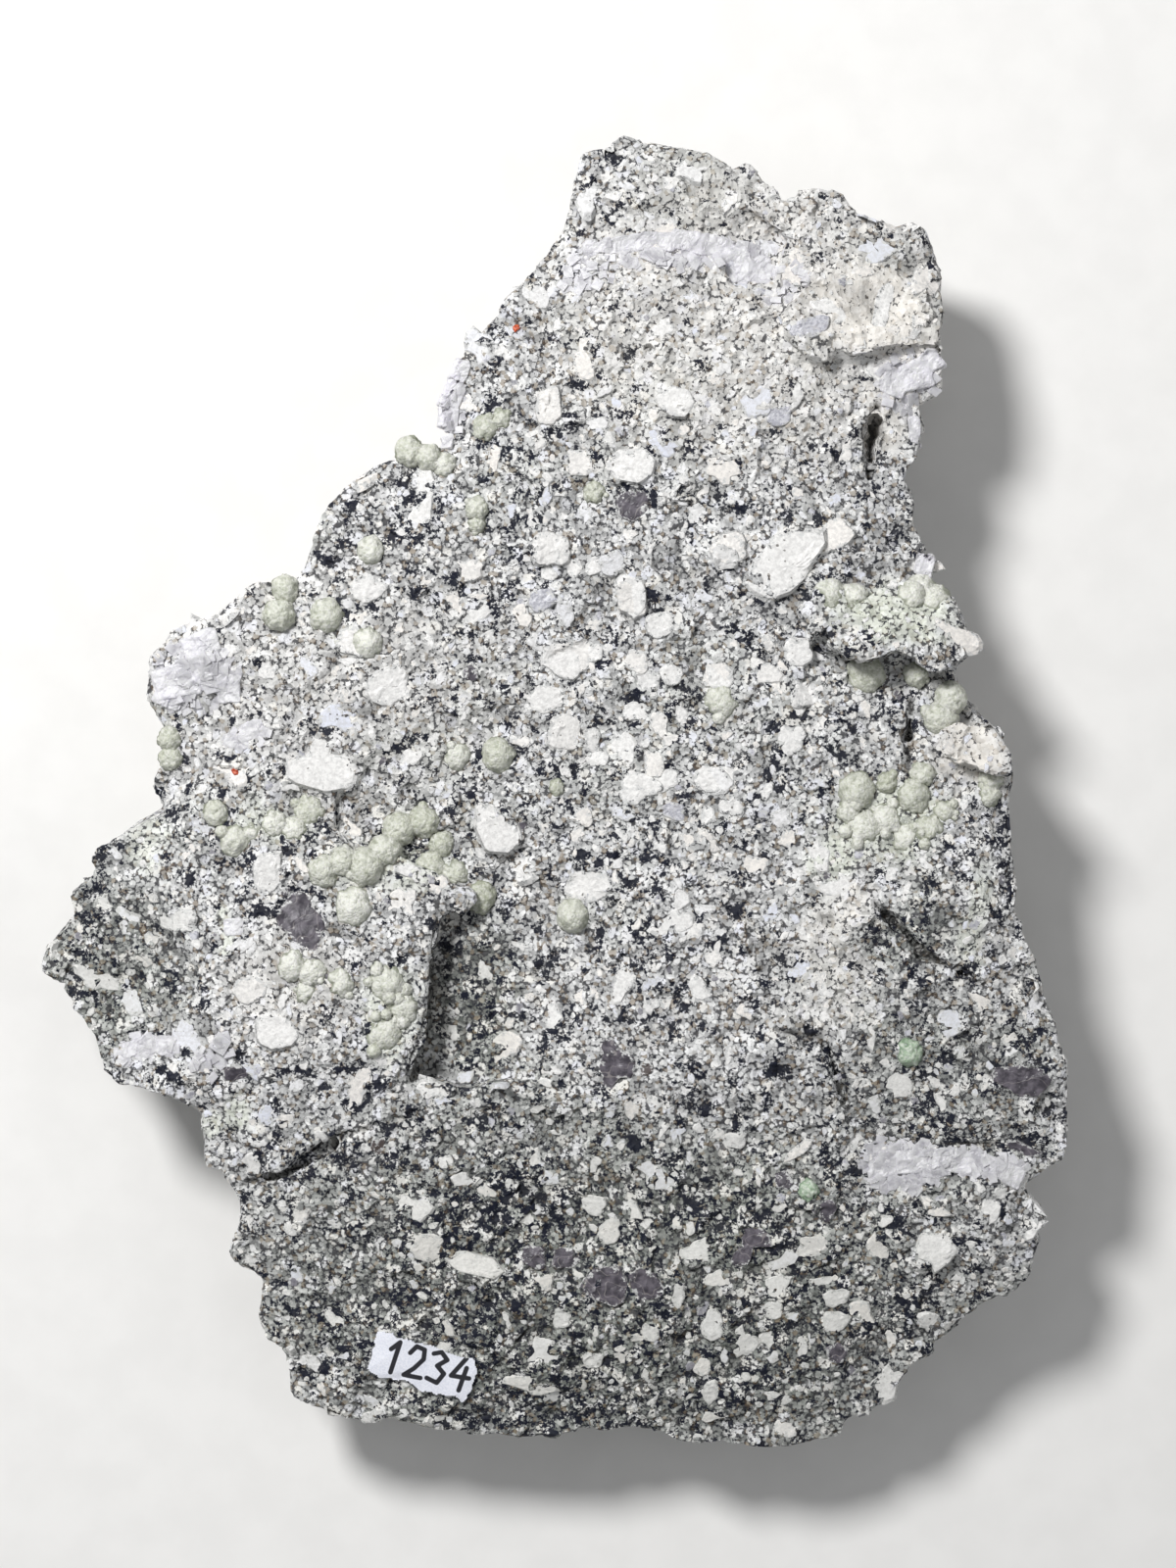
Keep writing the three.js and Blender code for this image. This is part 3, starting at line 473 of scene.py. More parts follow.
def rock_material():
    """Small pale crystals with white grains, fine dark specks and clusters of black mica among them."""
    m = Nodes("granite")
    dark_rock_and_shade, pale_zone, green_zone = m.attribute("dark"), m.attribute("pale"), m.attribute("green")
    fine = salt_and_pepper(m)
    rough = m.minus(fine, 0.5)
    small, small_colour = m.cells(0.48, warp=0.5)
    # The dark zones make the ground darker: darker rock, and painted shade beside the raised plate.
    low = m.mix(dark_rock_and_shade, (0.42, 0.42, 0.42), (0.12, 0.13, 0.12))
    high = m.mix(dark_rock_and_shade, (0.82, 0.82, 0.81), (0.48, 0.49, 0.46))
    ground = m.mix(m.part(small_colour, 0), low, high)
    patches = m.between(m.noise(2.4, detail=2, shift=60), 0.35, 0.65, 0.76, 1.14)
    ground = m.mix(1.0, ground, patches, "MULTIPLY")
    brown = m.between(m.part(small_colour, 1), 0.86, 0.90, 0, 0.6)
    ground = m.mix(brown, ground, (0.24, 0.18, 0.11))
    ground = m.mix(m.between(m.noise(11, shift=40), 0.48, 0.66, 0, 0.2), ground, (0.42, 0.44, 0.38))
    medium, medium_colour = m.cells(1.25, warp=0.5, shift=30)
    reach = m.between(m.part(medium_colour, 2), 0.25, 0.9, 0.05, 0.62)
    reach = m.add(reach, m.times(dark_rock_and_shade, 0.06))
    white = m.add(m.minus(reach, medium), m.times(rough, 0.7))
    white_tone = m.mix(m.part(medium_colour, 0), (0.74, 0.75, 0.80), (0.82, 0.80, 0.75))
    white_tone = m.mix(m.times(dark_rock_and_shade, 0.5), white_tone, (0.78, 0.77, 0.70))
    ground = m.mix(m.between(white, -0.03, 0.05, 0, 0.9), ground, white_tone)
    crumbs = m.mix(m.part(small_colour, 2), (0.70, 0.66, 0.60), (0.88, 0.85, 0.80))
    ground = m.mix(m.times(pale_zone, 0.85), ground, crumbs)
    green_crumbs = m.mix(m.part(small_colour, 2), (0.60, 0.63, 0.52), (0.84, 0.86, 0.78))
    ground = m.mix(green_zone, ground, green_crumbs)
    amount = m.minus(m.times(dark_rock_and_shade, 0.048), m.times(pale_zone, 0.19))
    seams = m.add(m.add(small, amount), m.times(rough, 1.5))
    seams = m.minus(seams, m.times(green_zone, 0.08))
    seam_tone = m.mix(brown, (0.045, 0.045, 0.05), (0.10, 0.06, 0.03))
    ground = m.mix(m.between(seams, 0.57, 0.70, 0, 0.9), ground, seam_tone)
    coarse = m.noise(1.9, detail=3, roughness=0.6, shift=80)
    finer = m.noise(1.05, detail=3, roughness=0.6, shift=85)
    apart = m.times(m.minus(finer, coarse), m.times(dark_rock_and_shade, 0.75))
    cluster = m.add(coarse, apart)
    amount = m.minus(amount, m.times(green_zone, 0.12))
    drift = m.times(m.minus(m.noise(6.5, detail=1, shift=120), 0.5), 0.22)
    crowd = m.add(cluster, m.add(amount, drift))
    mica = m.between(m.add(crowd, m.times(rough, 0.6)), 0.570, 0.592)
    colour = m.mix(m.times(mica, 0.97), ground, (0.008, 0.010, 0.021))
    # Painted shade in the cracks: nearly black along their routes.
    colour = m.mix(m.between(m.attribute("crack"), 0.35, 0.85, 0, 0.6), colour, (0.035, 0.032, 0.028))
    # Painted shade in the hollows of the relief: the lower a facet, the darker.
    colour = m.mix(m.between(m.attribute("relief"), -0.5, 0.1, 0.4, 0), colour, (0.05, 0.05, 0.05))
    roughness = m.between(mica, 0, 1, 0.85, 0.6)
    bump = m.bump(fine, 0.14, 0.8, under=m.bump(small, 0.10, 0.5))
    return m.set(Base_Color=colour, Roughness=roughness, Normal=bump, Specular_IOR_Level=0.12)


def rock_at_rim(m, fine):
    """Colour of the rock round a grain."""
    return m.mix(m.between(fine, 0.52, 0.58), (0.60, 0.60, 0.59), (0.10, 0.10, 0.105))


def feldspar_material():
    """White grains with ragged rims."""
    m = Nodes("feldspar")
    tone = m.attribute("tone")
    cool = m.mix(m.between(tone, 0, 0.35), (0.70, 0.72, 0.80), (0.83, 0.82, 0.80))
    colour = m.mix(m.between(tone, 0.6, 1), cool, (0.84, 0.80, 0.75))
    mottle = m.noise(0.42, detail=4, roughness=0.7)
    colour = m.mix(m.between(mottle, 0.40, 0.62, 0, 0.5), colour, (0.50, 0.49, 0.48))
    dots, dot_colour = m.cells(0.8, warp=0.4)
    dot = m.between(m.minus(m.between(m.part(dot_colour), 0.7, 1, 0, 0.2), dots), -0.02, 0.03)
    colour = m.mix(m.times(dot, 0.8), colour, (0.08, 0.07, 0.06))
    fine = salt_and_pepper(m)
    colour = m.mix(past_worn_rim(m, fine, 0.12, 0.24), rock_at_rim(m, fine), colour)
    # Grains in the dark zones are greyed: darker rock, and painted shade beside the raised plate.
    colour = m.mix(m.times(m.attribute("dark"), 0.4), colour, (0.55, 0.55, 0.50))
    return m.set(Base_Color=colour, Roughness=0.75, Normal=m.bump(fine, 0.12, 0.8), Specular_IOR_Level=0.3)


def quartz_material():
    """Smoky quartz, from nearly black to pale by its tone, and brown at one tone."""
    m = Nodes("smoky_quartz")
    tone = m.attribute("tone")
    cloud = m.noise(0.9, detail=4, roughness=0.6)
    dark = m.mix(m.between(cloud, 0.35, 0.65), (0.045, 0.039, 0.051), (0.14, 0.125, 0.148))
    brown = m.math("LESS_THAN", m.math("ABSOLUTE", m.minus(tone, 0.17)), 0.03)
    dark = m.mix(m.times(brown, 0.5), dark, (0.09, 0.06, 0.035))
    fine = salt_and_pepper(m)
    pale = m.mix(m.between(fine, 0.44, 0.60), (0.66, 0.66, 0.70), (0.40, 0.40, 0.45))
    colour = m.mix(m.between(tone, 0.25, 0.9), dark, pale)
    wander = m.math("ABSOLUTE", m.minus(m.noise(2.2, detail=1, shift=9), 0.5))
    colour = m.mix(m.between(wander, 0.003, 0.012, 0.35, 0), colour, (0.50, 0.46, 0.44))
    colour = m.mix(past_worn_rim(m, fine, 0.02, 0.10), rock_at_rim(m, fine), colour)
    bump = m.bump(fine, 0.06, 0.6)
    return m.set(Base_Color=colour, Roughness=0.4, Normal=bump, Transmission_Weight=0.15, IOR=1.544)


def garnet_material():
    """Red and glassy."""
    m = Nodes("garnet")
    colour = m.mix(m.between(m.noise(0.3), 0.35, 0.65), (0.30, 0.03, 0.01), (0.65, 0.12, 0.03))
    return m.set(Base_Color=colour, Roughness=0.3, Normal=m.bump(m.noise(0.2), 0.05))


def fluorite_material(name, pale, olive, deep):
    """Frosted: a skin of tiny crystals, each a little lighter or darker."""
    m = Nodes(name)
    crumb, crumb_colour = m.cells(0.30, warp=0.4)
    cloud = m.noise(1.2, detail=3, shift=5)
    tone = m.attribute("tone")
    colour = m.mix(tone, pale, olive)
    cloudy = m.times(m.between(cloud, 0.42, 0.62, 0, 0.6), m.add(tone, 0.25))
    colour = m.mix(cloudy, colour, olive)
    frost = m.noise(0.42, detail=4, roughness=0.75, shift=14)
    colour = m.mix(m.between(frost, 0.45, 0.57, 0, 0.5), colour, (0.87, 0.87, 0.82))
    colour = m.mix(m.between(m.part(crumb_colour, 1), 0.75, 0.95, 0, 0.35), colour, deep)
    colour = m.mix(m.between(frost, 0.40, 0.30, 0, 0.5), colour, deep)
    # Painted shade in the grooves between the petals.
    colour = m.mix(m.times(m.attribute("groove_shade"), 0.45), colour, deep)
    # Painted shade at each ball's foot, where it meets the rock.
    colour = m.mix(m.between(m.attribute("sunk"), 0.1, 0.9, 0, 0.8), colour, deep)
    bump = m.bump(crumb, -0.09, 1.0, under=m.bump(frost, 0.16, 0.8))
    return m.set(
        Base_Color=colour, Roughness=0.45, Normal=bump, Transmission_Weight=0.1, IOR=1.434,
        Subsurface_Weight=0.15, Subsurface_Radius=(0.9, 1.0, 0.7), Subsurface_Scale=0.0006,
    )


def calcite_material():
    """Lavender white and sugary."""
    m = Nodes("calcite")
    sugar = m.noise(0.3, detail=4, roughness=0.7)
    cloud = m.noise(1.6, detail=3)
    colour = m.mix(m.between(cloud, 0.35, 0.65), (0.80, 0.78, 0.85), (0.92, 0.90, 0.95))
    colour = m.mix(m.between(sugar, 0.52, 0.66, 0, 0.4), colour, (0.60, 0.58, 0.63))
    bump = m.bump(sugar, 0.1, 0.8)
    return m.set(
        Base_Color=colour, Roughness=0.35, Normal=bump, Transmission_Weight=0.15, IOR=1.6,
        Subsurface_Weight=0.5, Subsurface_Radius=(1.0, 0.95, 1.1), Subsurface_Scale=0.0012,
    )


def paper_material():
    """White paper with ink on it."""
    m = Nodes("label_paper")
    fibre = m.noise(0.18, detail=4)
    white = m.mix(m.between(fibre, 0.35, 0.65), (0.74, 0.76, 0.84), (0.86, 0.87, 0.93))
    ink = m.between(m.attribute("ink"), 0.42, 0.58)
    colour = m.mix(ink, white, (0.015, 0.015, 0.02))
    return m.set(Base_Color=colour, Roughness=0.6, Normal=m.bump(fibre, 0.03))


# The rock

RELIEF_LIMITS = (-1.8, 1.0)
LABEL_BORDER = 1.5  # the rock is smoother this near to the label
ZONE_WANDER = 1.6  # how far a zone's edge wanders

# Where the ground beside a crack is measured, and how the crack's bottom is found
CRACK_SIDES = (0.9, 2.2)
CRACK_REACH = 1.0
CRACK_NEIGHBOURS = 12
DEEPEST_CRACK = 2.5  # times its own depth, which also has the solid's cut in it


def distance_to_line(xy, line):
    """Distance of places to a line of straight pieces."""
    nearest = np.full(len(xy), np.inf)
    for a, b in zip(line[:-1], line[1:]):
        way = b - a
        along = np.clip(((xy - a) @ way) / (way @ way), 0, 1)
        nearest = np.minimum(nearest, np.linalg.norm(xy - (a + along[:, None] * way), axis=1))
    return nearest


def distance_to_route(xy, route):
    """Distance of places to a route of pixels."""
    return distance_to_line(xy, np.array([place(*p) for p in route]))


def inside_outline(xy, outline):
    """Which places are inside an outline of pixels."""
    corners = np.array([place(*p) for p in outline])
    inside = np.zeros(len(xy), bool)
    for a, b in zip(corners, np.roll(corners, -1, axis=0)):
        crosses = (a[1] > xy[:, 1]) != (b[1] > xy[:, 1])
        with np.errstate(divide="ignore", invalid="ignore"):
            at = (b[0] - a[0]) * (xy[:, 1] - a[1]) / (b[1] - a[1]) + a[0]
        inside ^= crosses & (xy[:, 0] < at)
    return inside


def distance_to_outline(xy, outline):
    """Distance of places to a closed outline of pixels."""
    return distance_to_route(xy, [*outline, outline[0]])


def front_part(points, normals):
    """1 on the front, and less towards the rim and the back."""
    return np.clip((normals[:, 2] - 0.1) / 0.5, 0, 1) * np.clip((points[:, 2] - RIM_LEVEL) / 4, 0, 1)


def fill_of_crack(points, normals, route, depth):
    """How far to lift the points in a deep cut, so that it is only that deep."""
    lift = np.zeros(len(points))
    away = distance_to_route(points[:, :2], route)
    beside = (away > CRACK_SIDES[0]) & (away < CRACK_SIDES[1]) & (normals[:, 2] > 0.6)
    beside = np.flatnonzero(beside & (points[:, 2] > FRONT_LEVEL))
    within = np.flatnonzero((away < CRACK_REACH) & (points[:, 2] > RIM_LEVEL))
    for n in within:
        gap = np.linalg.norm(points[beside, :2] - points[n, :2], axis=1)
        level = np.median(points[beside[np.argsort(gap)[:CRACK_NEIGHBOURS]], 2])
        lift[n] = max(0.0, level - depth - points[n, 2])
    return lift


def thinned_rock():
    """The rock in even small faces, with fewer of them on its back and sides."""
    fine = remeshed("rock_matrix", ROCK_VOXEL)
    points, faces, normals = read_mesh(fine)
    unseen = (normals[:, 2] < 0.2) | (points[:, 2] < RIM_LEVEL + 1)
    keep = ROCK_TRIANGLES / len(faces)
    settings = {"ratio": keep, "vertex_group": "chosen", "use_collapse_triangulate": True}
    return read_mesh(evaluated(fine, [("DECIMATE", settings)], group=unseen))


def make_rock(material):
    """The broken rock, with its relief, its cracks and its zones."""
    points, faces, normals = thinned_rock()
    front = front_part(points, normals)
    relief = facets(points, 3.4, 100, 0.13, 0.13) + facets(points, 1.4, 200, 0.16, 0.09)
    relief += 0.10 * noise(points, 0.8, 300)
    broad = 0.32 * noise(points, 6.0, 301) + 0.18 * noise(points, 3.0, 302)
    height = relief + broad * (1 + 0.6 * (1 - front))
    xy = points[:, :2]
    on_front = front > 0.2
    crack = np.zeros(len(points))
    for route, width, depth in CRACKS:
        near = np.clip(1 - distance_to_route(xy, route) / width, 0, 1) * on_front
        crack = np.maximum(crack, near)
        height -= depth * near**1.5
        points[:, 2] += fill_of_crack(points, normals, route, DEEPEST_CRACK * depth)
    calm = np.clip(distance_to_outline(xy, LABEL) / LABEL_BORDER, 0, 1)
    calm[inside_outline(xy, LABEL)] = 0
    height *= np.where(on_front, 0.25 + 0.75 * calm, 1)
    height = np.clip(height, *RELIEF_LIMITS)
    moved = points + normals * height[:, None]
    near_edge = np.clip(1.3 - distance_to_route(xy, PLATE_EDGE) / 2.5, 0, 1) * (points[:, 2] > FRONT_LEVEL)
    ragged = 0.55 * noise(points * (0, 1, 1), 1.9, 320) + 0.25 * noise(points, 0.8, 321)
    moved[:, 0] += near_edge * ragged
    moved[:, 2] = np.maximum(moved[:, 2], LOWEST)
    # The relief and crack numbers carry painted shade into the hollows and cracks.
    attributes = {"relief": relief, "crack": crack, **zone_strengths(moved)}
    finish_piece(new_piece("rock", moved, faces, material, attributes), "rock", "rock_matrix")
    return moved, faces, normals


def zone_strengths(points):
    """How strongly each kind of zone marks each point, 0 to 1."""
    wander = [noise(points, 4.0, 900 + n) + 0.5 * noise(points, 1.3, 910 + n) for n in (0, 1)]
    xy = points[:, :2] + ZONE_WANDER * np.stack(wander, axis=1)
    strengths = {kind: np.zeros(len(points)) for kind in ZONES}
    for kind, patches in ZONES.items():
        for px, py, half_width, half_height, turn, strength in patches:
            away = (xy - place(px, py)) * PIXELS_PER_MM
            c, s = math.cos(math.radians(turn)), math.sin(math.radians(turn))
            u = (away[:, 0] * c + away[:, 1] * s) / half_width
            v = (away[:, 1] * c - away[:, 0] * s) / half_height
            inside = np.clip(1.6 * (1 - np.hypot(u, v)), 0, 1)
            strengths[kind] = np.maximum(strengths[kind], strength * inside * inside * (3 - 2 * inside))
    return strengths


class Surface:
    """The rock's surface, to set grains on."""

    def __init__(self, points, faces, normals):
        self.points, self.faces, self.normals = points, faces, normals
        self.tree = BVHTree.FromPolygons(points.tolist(), faces.tolist())

    def below(self, x, y):
        """The point of the front under a place, and the mean normal around it."""
        spot, _, index, _ = self.tree.ray_cast(Vector((x, y, SKY)), DOWN)
        if spot is None:
            spot, _, index, _ = self.tree.find_nearest(Vector((x, y, FACE_LEVEL)))
        normal = self.normals[self.faces[index]].mean(axis=0)
        return np.array(spot), normal / np.linalg.norm(normal)

    def levels_below(self, points):
        """Height of the front under each point."""
        return np.array([self.below(x, y)[0][2] for x, y in points[:, :2]])

    def scatter(self, count, rng):
        """Random places over the whole surface, evenly by area."""
        a, b, c = (self.points[self.faces[:, n]] for n in range(3))
        area = np.linalg.norm(np.cross(b - a, c - a), axis=1)
        pick = rng.choice(len(area), count, p=area / area.sum())
        u, v = rng.random(count), rng.random(count)
        over = u + v > 1
        u[over], v[over] = 1 - u[over], 1 - v[over]
        shares = np.stack([1 - u - v, u, v], axis=1)[:, :, None]
        spots = (self.points[self.faces[pick]] * shares).sum(axis=1)
        normals = (self.normals[self.faces[pick]] * shares).sum(axis=1)
        return spots, normals / np.linalg.norm(normals, axis=1, keepdims=True)


def spaced(spots, sizes, taken):
    """Which spots can be kept so that grains of those sizes hardly overlap, where the largest come first."""
    grid = {}

    def put(p, r):
        grid.setdefault(tuple(np.floor(p / GRID_SIDE).astype(int)), []).append((p, r))

    def is_clear(p, r):
        key = np.floor(p / GRID_SIDE).astype(int)
        for step in itertools.product((-1, 0, 1), repeat=3):
            for q, s in grid.get(tuple(key + step), ()):
                if np.dot(p - q, p - q) < (CLOSENESS * (r + s)) ** 2:
                    return False
        return True

    for p, r in taken:
        put(p, r)
    kept = []
    for n, (p, r) in enumerate(zip(spots, sizes)):
        if is_clear(p, r):
            put(p, r)
            kept.append(n)
    return kept


def grain_axes(normal, turn):
    """Two directions across a normal, the first turned from +X."""
    lean = (math.cos(turn), math.sin(turn), 0.0)
    if abs(normal[2]) < 0.3:
        lean = (0.0, math.sin(turn) * 0.3, 1.0) if abs(normal[0]) > 0.7 else (0.3, 0.0, 1.0)
    across = np.cross(normal, lean)
    across /= np.linalg.norm(across)
    return np.cross(across, normal), across


GRID_SIDE = 4.0
CLOSENESS = 0.9  # share of two grains' sizes that lies between their middles

# Rings of a grain from its middle out: part of its reach and part of its rise
RINGS_SMALL = ((0.75, 1.0), (1.05, -2.0))
RINGS_MEDIUM = ((0.5, 1.0), (0.84, 0.8), (1.06, -2.5))
RINGS_LARGE = (
    (0.14, 1.0), (0.28, 1.0), (0.42, 1.0), (0.56, 1.0), (0.70, 1.0), (0.82, 0.95), (0.92, 0.7), (1.0, 0.0),
    (1.06, -2.5),
)
WIDEST_EDGE = 1.5
WALL_REACH = 0.6  # how far a grain's rim goes down or up a step in the rock
SEAT = 3.0  # how far above and below its spot a grain looks for the rock
GRAIN_TILT = 0.15
FELDSPARS_TRIED = 7600
SMALLEST_FELDSPAR = 0.34
LARGEST_FELDSPAR = 1.7
LARGE_GRAIN = 0.8
QUARTZ_SCATTERED = 260
LABEL_CLEARANCE = 3.0


def outline_of_grain(angles, raggedness, squareness, rng):
    """Reach of a grain in each direction: an oval or a rounded block, with a few corners."""
    powers = np.abs(np.cos(angles)) ** squareness + np.abs(np.sin(angles)) ** squareness
    reach = powers ** (-1 / squareness)
    for waves in (2, 3, 4, 5, 7):
        reach += raggedness / waves * np.cos(waves * angles + rng.random() * 2 * math.pi)
    return reach + rng.normal(0, 0.03, len(angles))


def reach_of_outline(angles, corners):
    """Distance from the middle of an outline to its side in each direction."""
    way = np.stack([np.cos(angles), np.sin(angles)], axis=1)
    reach = np.zeros(len(angles))
    for a, b in zip(corners, np.roll(corners, -1, axis=0)):
        side = b - a
        across = way[:, 0] * side[1] - way[:, 1] * side[0]
        across = np.where(np.abs(across) < 1e-9, 1e-9, across)
        far = (a[0] * side[1] - a[1] * side[0]) / across
        along = (a[0] * way[:, 1] - a[1] * way[:, 0]) / across
        meets = (along >= 0) & (along <= 1) & (far > 0)
        reach = np.where(meets, np.maximum(reach, far), reach)
    return reach


def outlined_grains(surface, outlines, rise, tone, rng):
    """Wanted grains that have an outline of their own. Their tone is a start and a random spread."""
    wanted = []
    for outline in outlines:
        corners = np.array([place(*p) for p in outline])
        middle = corners.mean(axis=0)
        spot, normal = surface.below(*middle)
        own_tone = tone[0] + tone[1] * rng.random()
        wanted.append((spot, normal, 1.0, 1.0, 0.0, rise, own_tone, corners - middle))
    return wanted


def size_of(grain):
    """Half the widest measure of a wanted grain."""
    return np.linalg.norm(grain[7], axis=1).max() if len(grain) > 7 else max(grain[2], grain[3])


def ring_places(rim, rings):
    """Places of a grain from its middle out, their share of its rise, and how far they are from its rim."""
    to_rim = np.linalg.norm(rim, axis=1)
    flat, level, edge = [np.zeros((1, 2))], [np.ones(1)], [np.full(1, to_rim.mean())]
    for scale, height in rings:
        flat.append(rim * scale)
        level.append(np.full(len(rim), height))
        edge.append(np.maximum(0, 1 - scale) * to_rim)
    return np.concatenate(flat), np.concatenate(level), np.minimum(np.concatenate(edge), WIDEST_EDGE)


def ring_faces(corners, rings, first):
    """Triangles of a grain whose points start at that number."""
    faces = []
    for n in range(corners):
        after = (n + 1) % corners
        faces.append((first, first + 1 + n, first + 1 + after))
        for ring in range(rings - 1):
            near = first + 1 + ring * corners
            far = near + corners
            faces.append((near + n, far + n, far + after))
            faces.append((near + n, far + after, near + after))
    return faces


def ground_under(surface, p, normal, inner, facet):
    """Height of the rock under a grain's points, nearly level inside its rim."""
    ground = np.zeros(len(p))
    for n, q in enumerate(p):
        start = Vector(q + normal * SEAT)
        hit = surface.tree.ray_cast(start, Vector(-normal), 2 * SEAT)[0]
        ground[n] = 0.0 if hit is None else SEAT - (start - hit).length
    middle = np.percentile(ground[inner], 80 if facet else 50)
    ground = np.clip(ground, middle - WALL_REACH, middle + WALL_REACH)
    level_ground = middle + (0.1 if facet else 0.25) * (ground - middle)
    if facet:
        level_ground = np.maximum(level_ground, ground)
    return np.where(inner, level_ground, ground)


def grains(surface, wanted, corners, rings, rng, raggedness=0.3, squareness=2.0, facet=0.0):
    """Low lumps on the rock.

    Each wanted grain is its spot, normal, half-length, half-width, turn, rise, tone and, where it has one,
    its own outline.
    """
    points, faces, tones, edges = [], [], [], []
    angles = np.arange(corners) * 2 * math.pi / corners
    first = 0
    for spot, normal, half_length, half_width, turn, rise, tone, *own in wanted:
        u, v = grain_axes(normal, turn)
        if own:
            reach = reach_of_outline(angles, own[0])
        else:
            reach = outline_of_grain(angles, raggedness, squareness, rng)
        rim = np.stack([np.cos(angles) * half_length, np.sin(angles) * half_width], axis=1) * reach[:, None]
        flat, level, edge = ring_places(rim, rings)
        tilt = (rng.random(2) - 0.5) * GRAIN_TILT
        p = spot + flat[:, :1] * u + flat[:, 1:] * v
        inner = level > 0.5
        height = ground_under(surface, p, normal, inner, facet) + rise * level + (flat @ tilt) * inner
        if facet:
            height += inner * facet * (facets(p, 1.5, 950, 0.22, 0.10) + facets(p, 0.6, 960, 0.25, 0.05))
        points.append(p + height[:, None] * normal)
        tones += [tone] * len(p)
        edges.append(edge)
        faces += ring_faces(corners, len(rings), first)
        first += len(p)
    points = np.concatenate(points)
    points[:, 2] = np.maximum(points[:, 2], 0)
    # Strength of the dark zones, darker rock and painted shade, for greying the grains there.
    dark = zone_strengths(points)["dark"]
    return points, np.array(faces), {"tone": np.array(tones), "edge": np.concatenate(edges), "dark": dark}


def joined(parts):
    """One set of points, faces and point attributes from several."""
    points, faces, first = [], [], 0
    for p, f, _ in parts:
        points.append(p)
        faces.append(f + first)
        first += len(p)
    attributes = {key: np.concatenate([a[key] for _, _, a in parts]) for key in parts[0][2]}
    return np.concatenate(points), np.concatenate(faces), attributes


def seen_grains(surface, table, rise, tone, rng):
    """Wanted grains from a table. Their tone is a start and a random spread."""
    half = 0.5 / PIXELS_PER_MM
    wanted = []
    for px, py, length, width, *turn in table:
        spot, normal = surface.below(*place(px, py))
        own_tone = tone[0] + tone[1] * rng.random()
        wanted.append((spot, normal, length * half, width * half, math.radians(sum(turn)), rise, own_tone))
    return wanted


def taken_places(surface, grains_seen):
    """Spots and sizes that the scattered grains keep clear of."""
    taken = [(g[0], 0.85 * size_of(g)) for g in grains_seen]
    for balls in FLUORITE.values():
        for px, py, diameter, _ in balls:
            taken.append((surface.below(*place(px, py))[0], diameter / 2 / PIXELS_PER_MM))
    for px, py in np.linspace(*LABEL_MIDDLE, 7):
        taken.append((surface.below(*place(px, py))[0], LABEL_CLEARANCE))
    return taken


def scattered_feldspars(surface, taken, rng):
    """More feldspars all over the rock, fewer of them in its dark zones and none on a crack."""
    spots, normals = surface.scatter(FELDSPARS_TRIED, rng)
    sizes = np.minimum(SMALLEST_FELDSPAR + 0.32 * rng.pareto(2.3, FELDSPARS_TRIED), LARGEST_FELDSPAR)
    order = np.argsort(-sizes)
    spots, normals, sizes = spots[order], normals[order], sizes[order]
    for route, width, _ in CRACKS:
        far = distance_to_route(spots[:, :2], route) > width + sizes
        spots, normals, sizes = spots[far], normals[far], sizes[far]
    kept = rng.random(len(spots)) >= 0.35 * zone_strengths(spots)["dark"]
    spots, normals, sizes = spots[kept], normals[kept], sizes[kept]
    wanted = []
    for n in spaced(spots, sizes, taken):
        stretch = 1 + 0.5 * rng.random()
        rise = 0.02 + 0.04 * rng.random() + 0.02 * sizes[n]
        half_length, half_width = sizes[n] * stretch, sizes[n] / stretch**0.5
        turn, tone = rng.random() * TURN, rng.random()
        wanted.append((spots[n], normals[n], half_length, half_width, turn, rise, tone))
    return wanted


def scattered_quartz(surface, rng):
    """Small grains of quartz all over the rock."""
    spots, normals = surface.scatter(QUARTZ_SCATTERED, rng)
    sizes = 0.35 + 0.4 * rng.random(QUARTZ_SCATTERED)
    wanted = []
    for spot, normal, size in zip(spots, normals, sizes):
        wanted.append((spot, normal, size, size * 0.8, rng.random() * TURN, 0.06, 0.3 + 0.7 * rng.random()))
    return wanted


def make_grains(surface, materials, rng):
    """The rock's feldspars, quartz and garnets: those seen one by one, and more like them all over it."""
    feldspars = seen_grains(surface, FELDSPARS, 0.10, (0.45, 0.4), rng)
    feldspars += outlined_grains(surface, FELDSPAR_OUTLINES, 0.10, (0.45, 0.3), rng)
    small_seen = seen_grains(surface, SMALL_FELDSPARS, 0.08, (0.2, 0.7), rng)
    quartz = seen_grains(surface, QUARTZ, 0.10, (0, 0.2), rng)
    quartz += outlined_grains(surface, QUARTZ_OUTLINES, 0.10, (0, 0.13), rng)
    quartz += seen_grains(surface, PALE_QUARTZ, 0.1, (0.8, 0.2), rng)
    wanted = scattered_feldspars(surface, taken_places(surface, feldspars + small_seen + quartz), rng)
    large = [g for g in wanted if g[2] > LARGE_GRAIN]
    small = [g for g in wanted if g[2] <= LARGE_GRAIN]
    shown = joined([
        grains(surface, feldspars, 32, RINGS_LARGE, rng, raggedness=0.16, squareness=3.0, facet=0.14),
        grains(surface, small_seen, 22, RINGS_LARGE, rng, raggedness=0.22, squareness=2.5, facet=0.12),
        grains(surface, large, 14, RINGS_MEDIUM, rng, raggedness=0.45),
    ])
    crumbs = grains(surface, small, 7, RINGS_SMALL, rng)
    more = scattered_quartz(surface, rng)
    dark = joined([
        grains(surface, quartz, 26, RINGS_LARGE, rng, raggedness=0.2, squareness=2.5, facet=0.15),
        grains(surface, more, 10, RINGS_MEDIUM, rng),
    ])
    garnets = grains(surface, seen_grains(surface, GARNETS, 0.35, (0, 1), rng), 7, RINGS_MEDIUM, rng)
    made = (
        ("feldspar_grains", shown, "feldspar"), ("small_grains", crumbs, "feldspar"),
        ("quartz_grains", dark, "quartz"), ("garnet_grains", garnets, "garnet"),
    )
    for name, (points, faces, attributes), kind in made:
        finish_piece(new_piece(name, points, faces, materials[kind], attributes), "rock")


# Fluorite and calcite

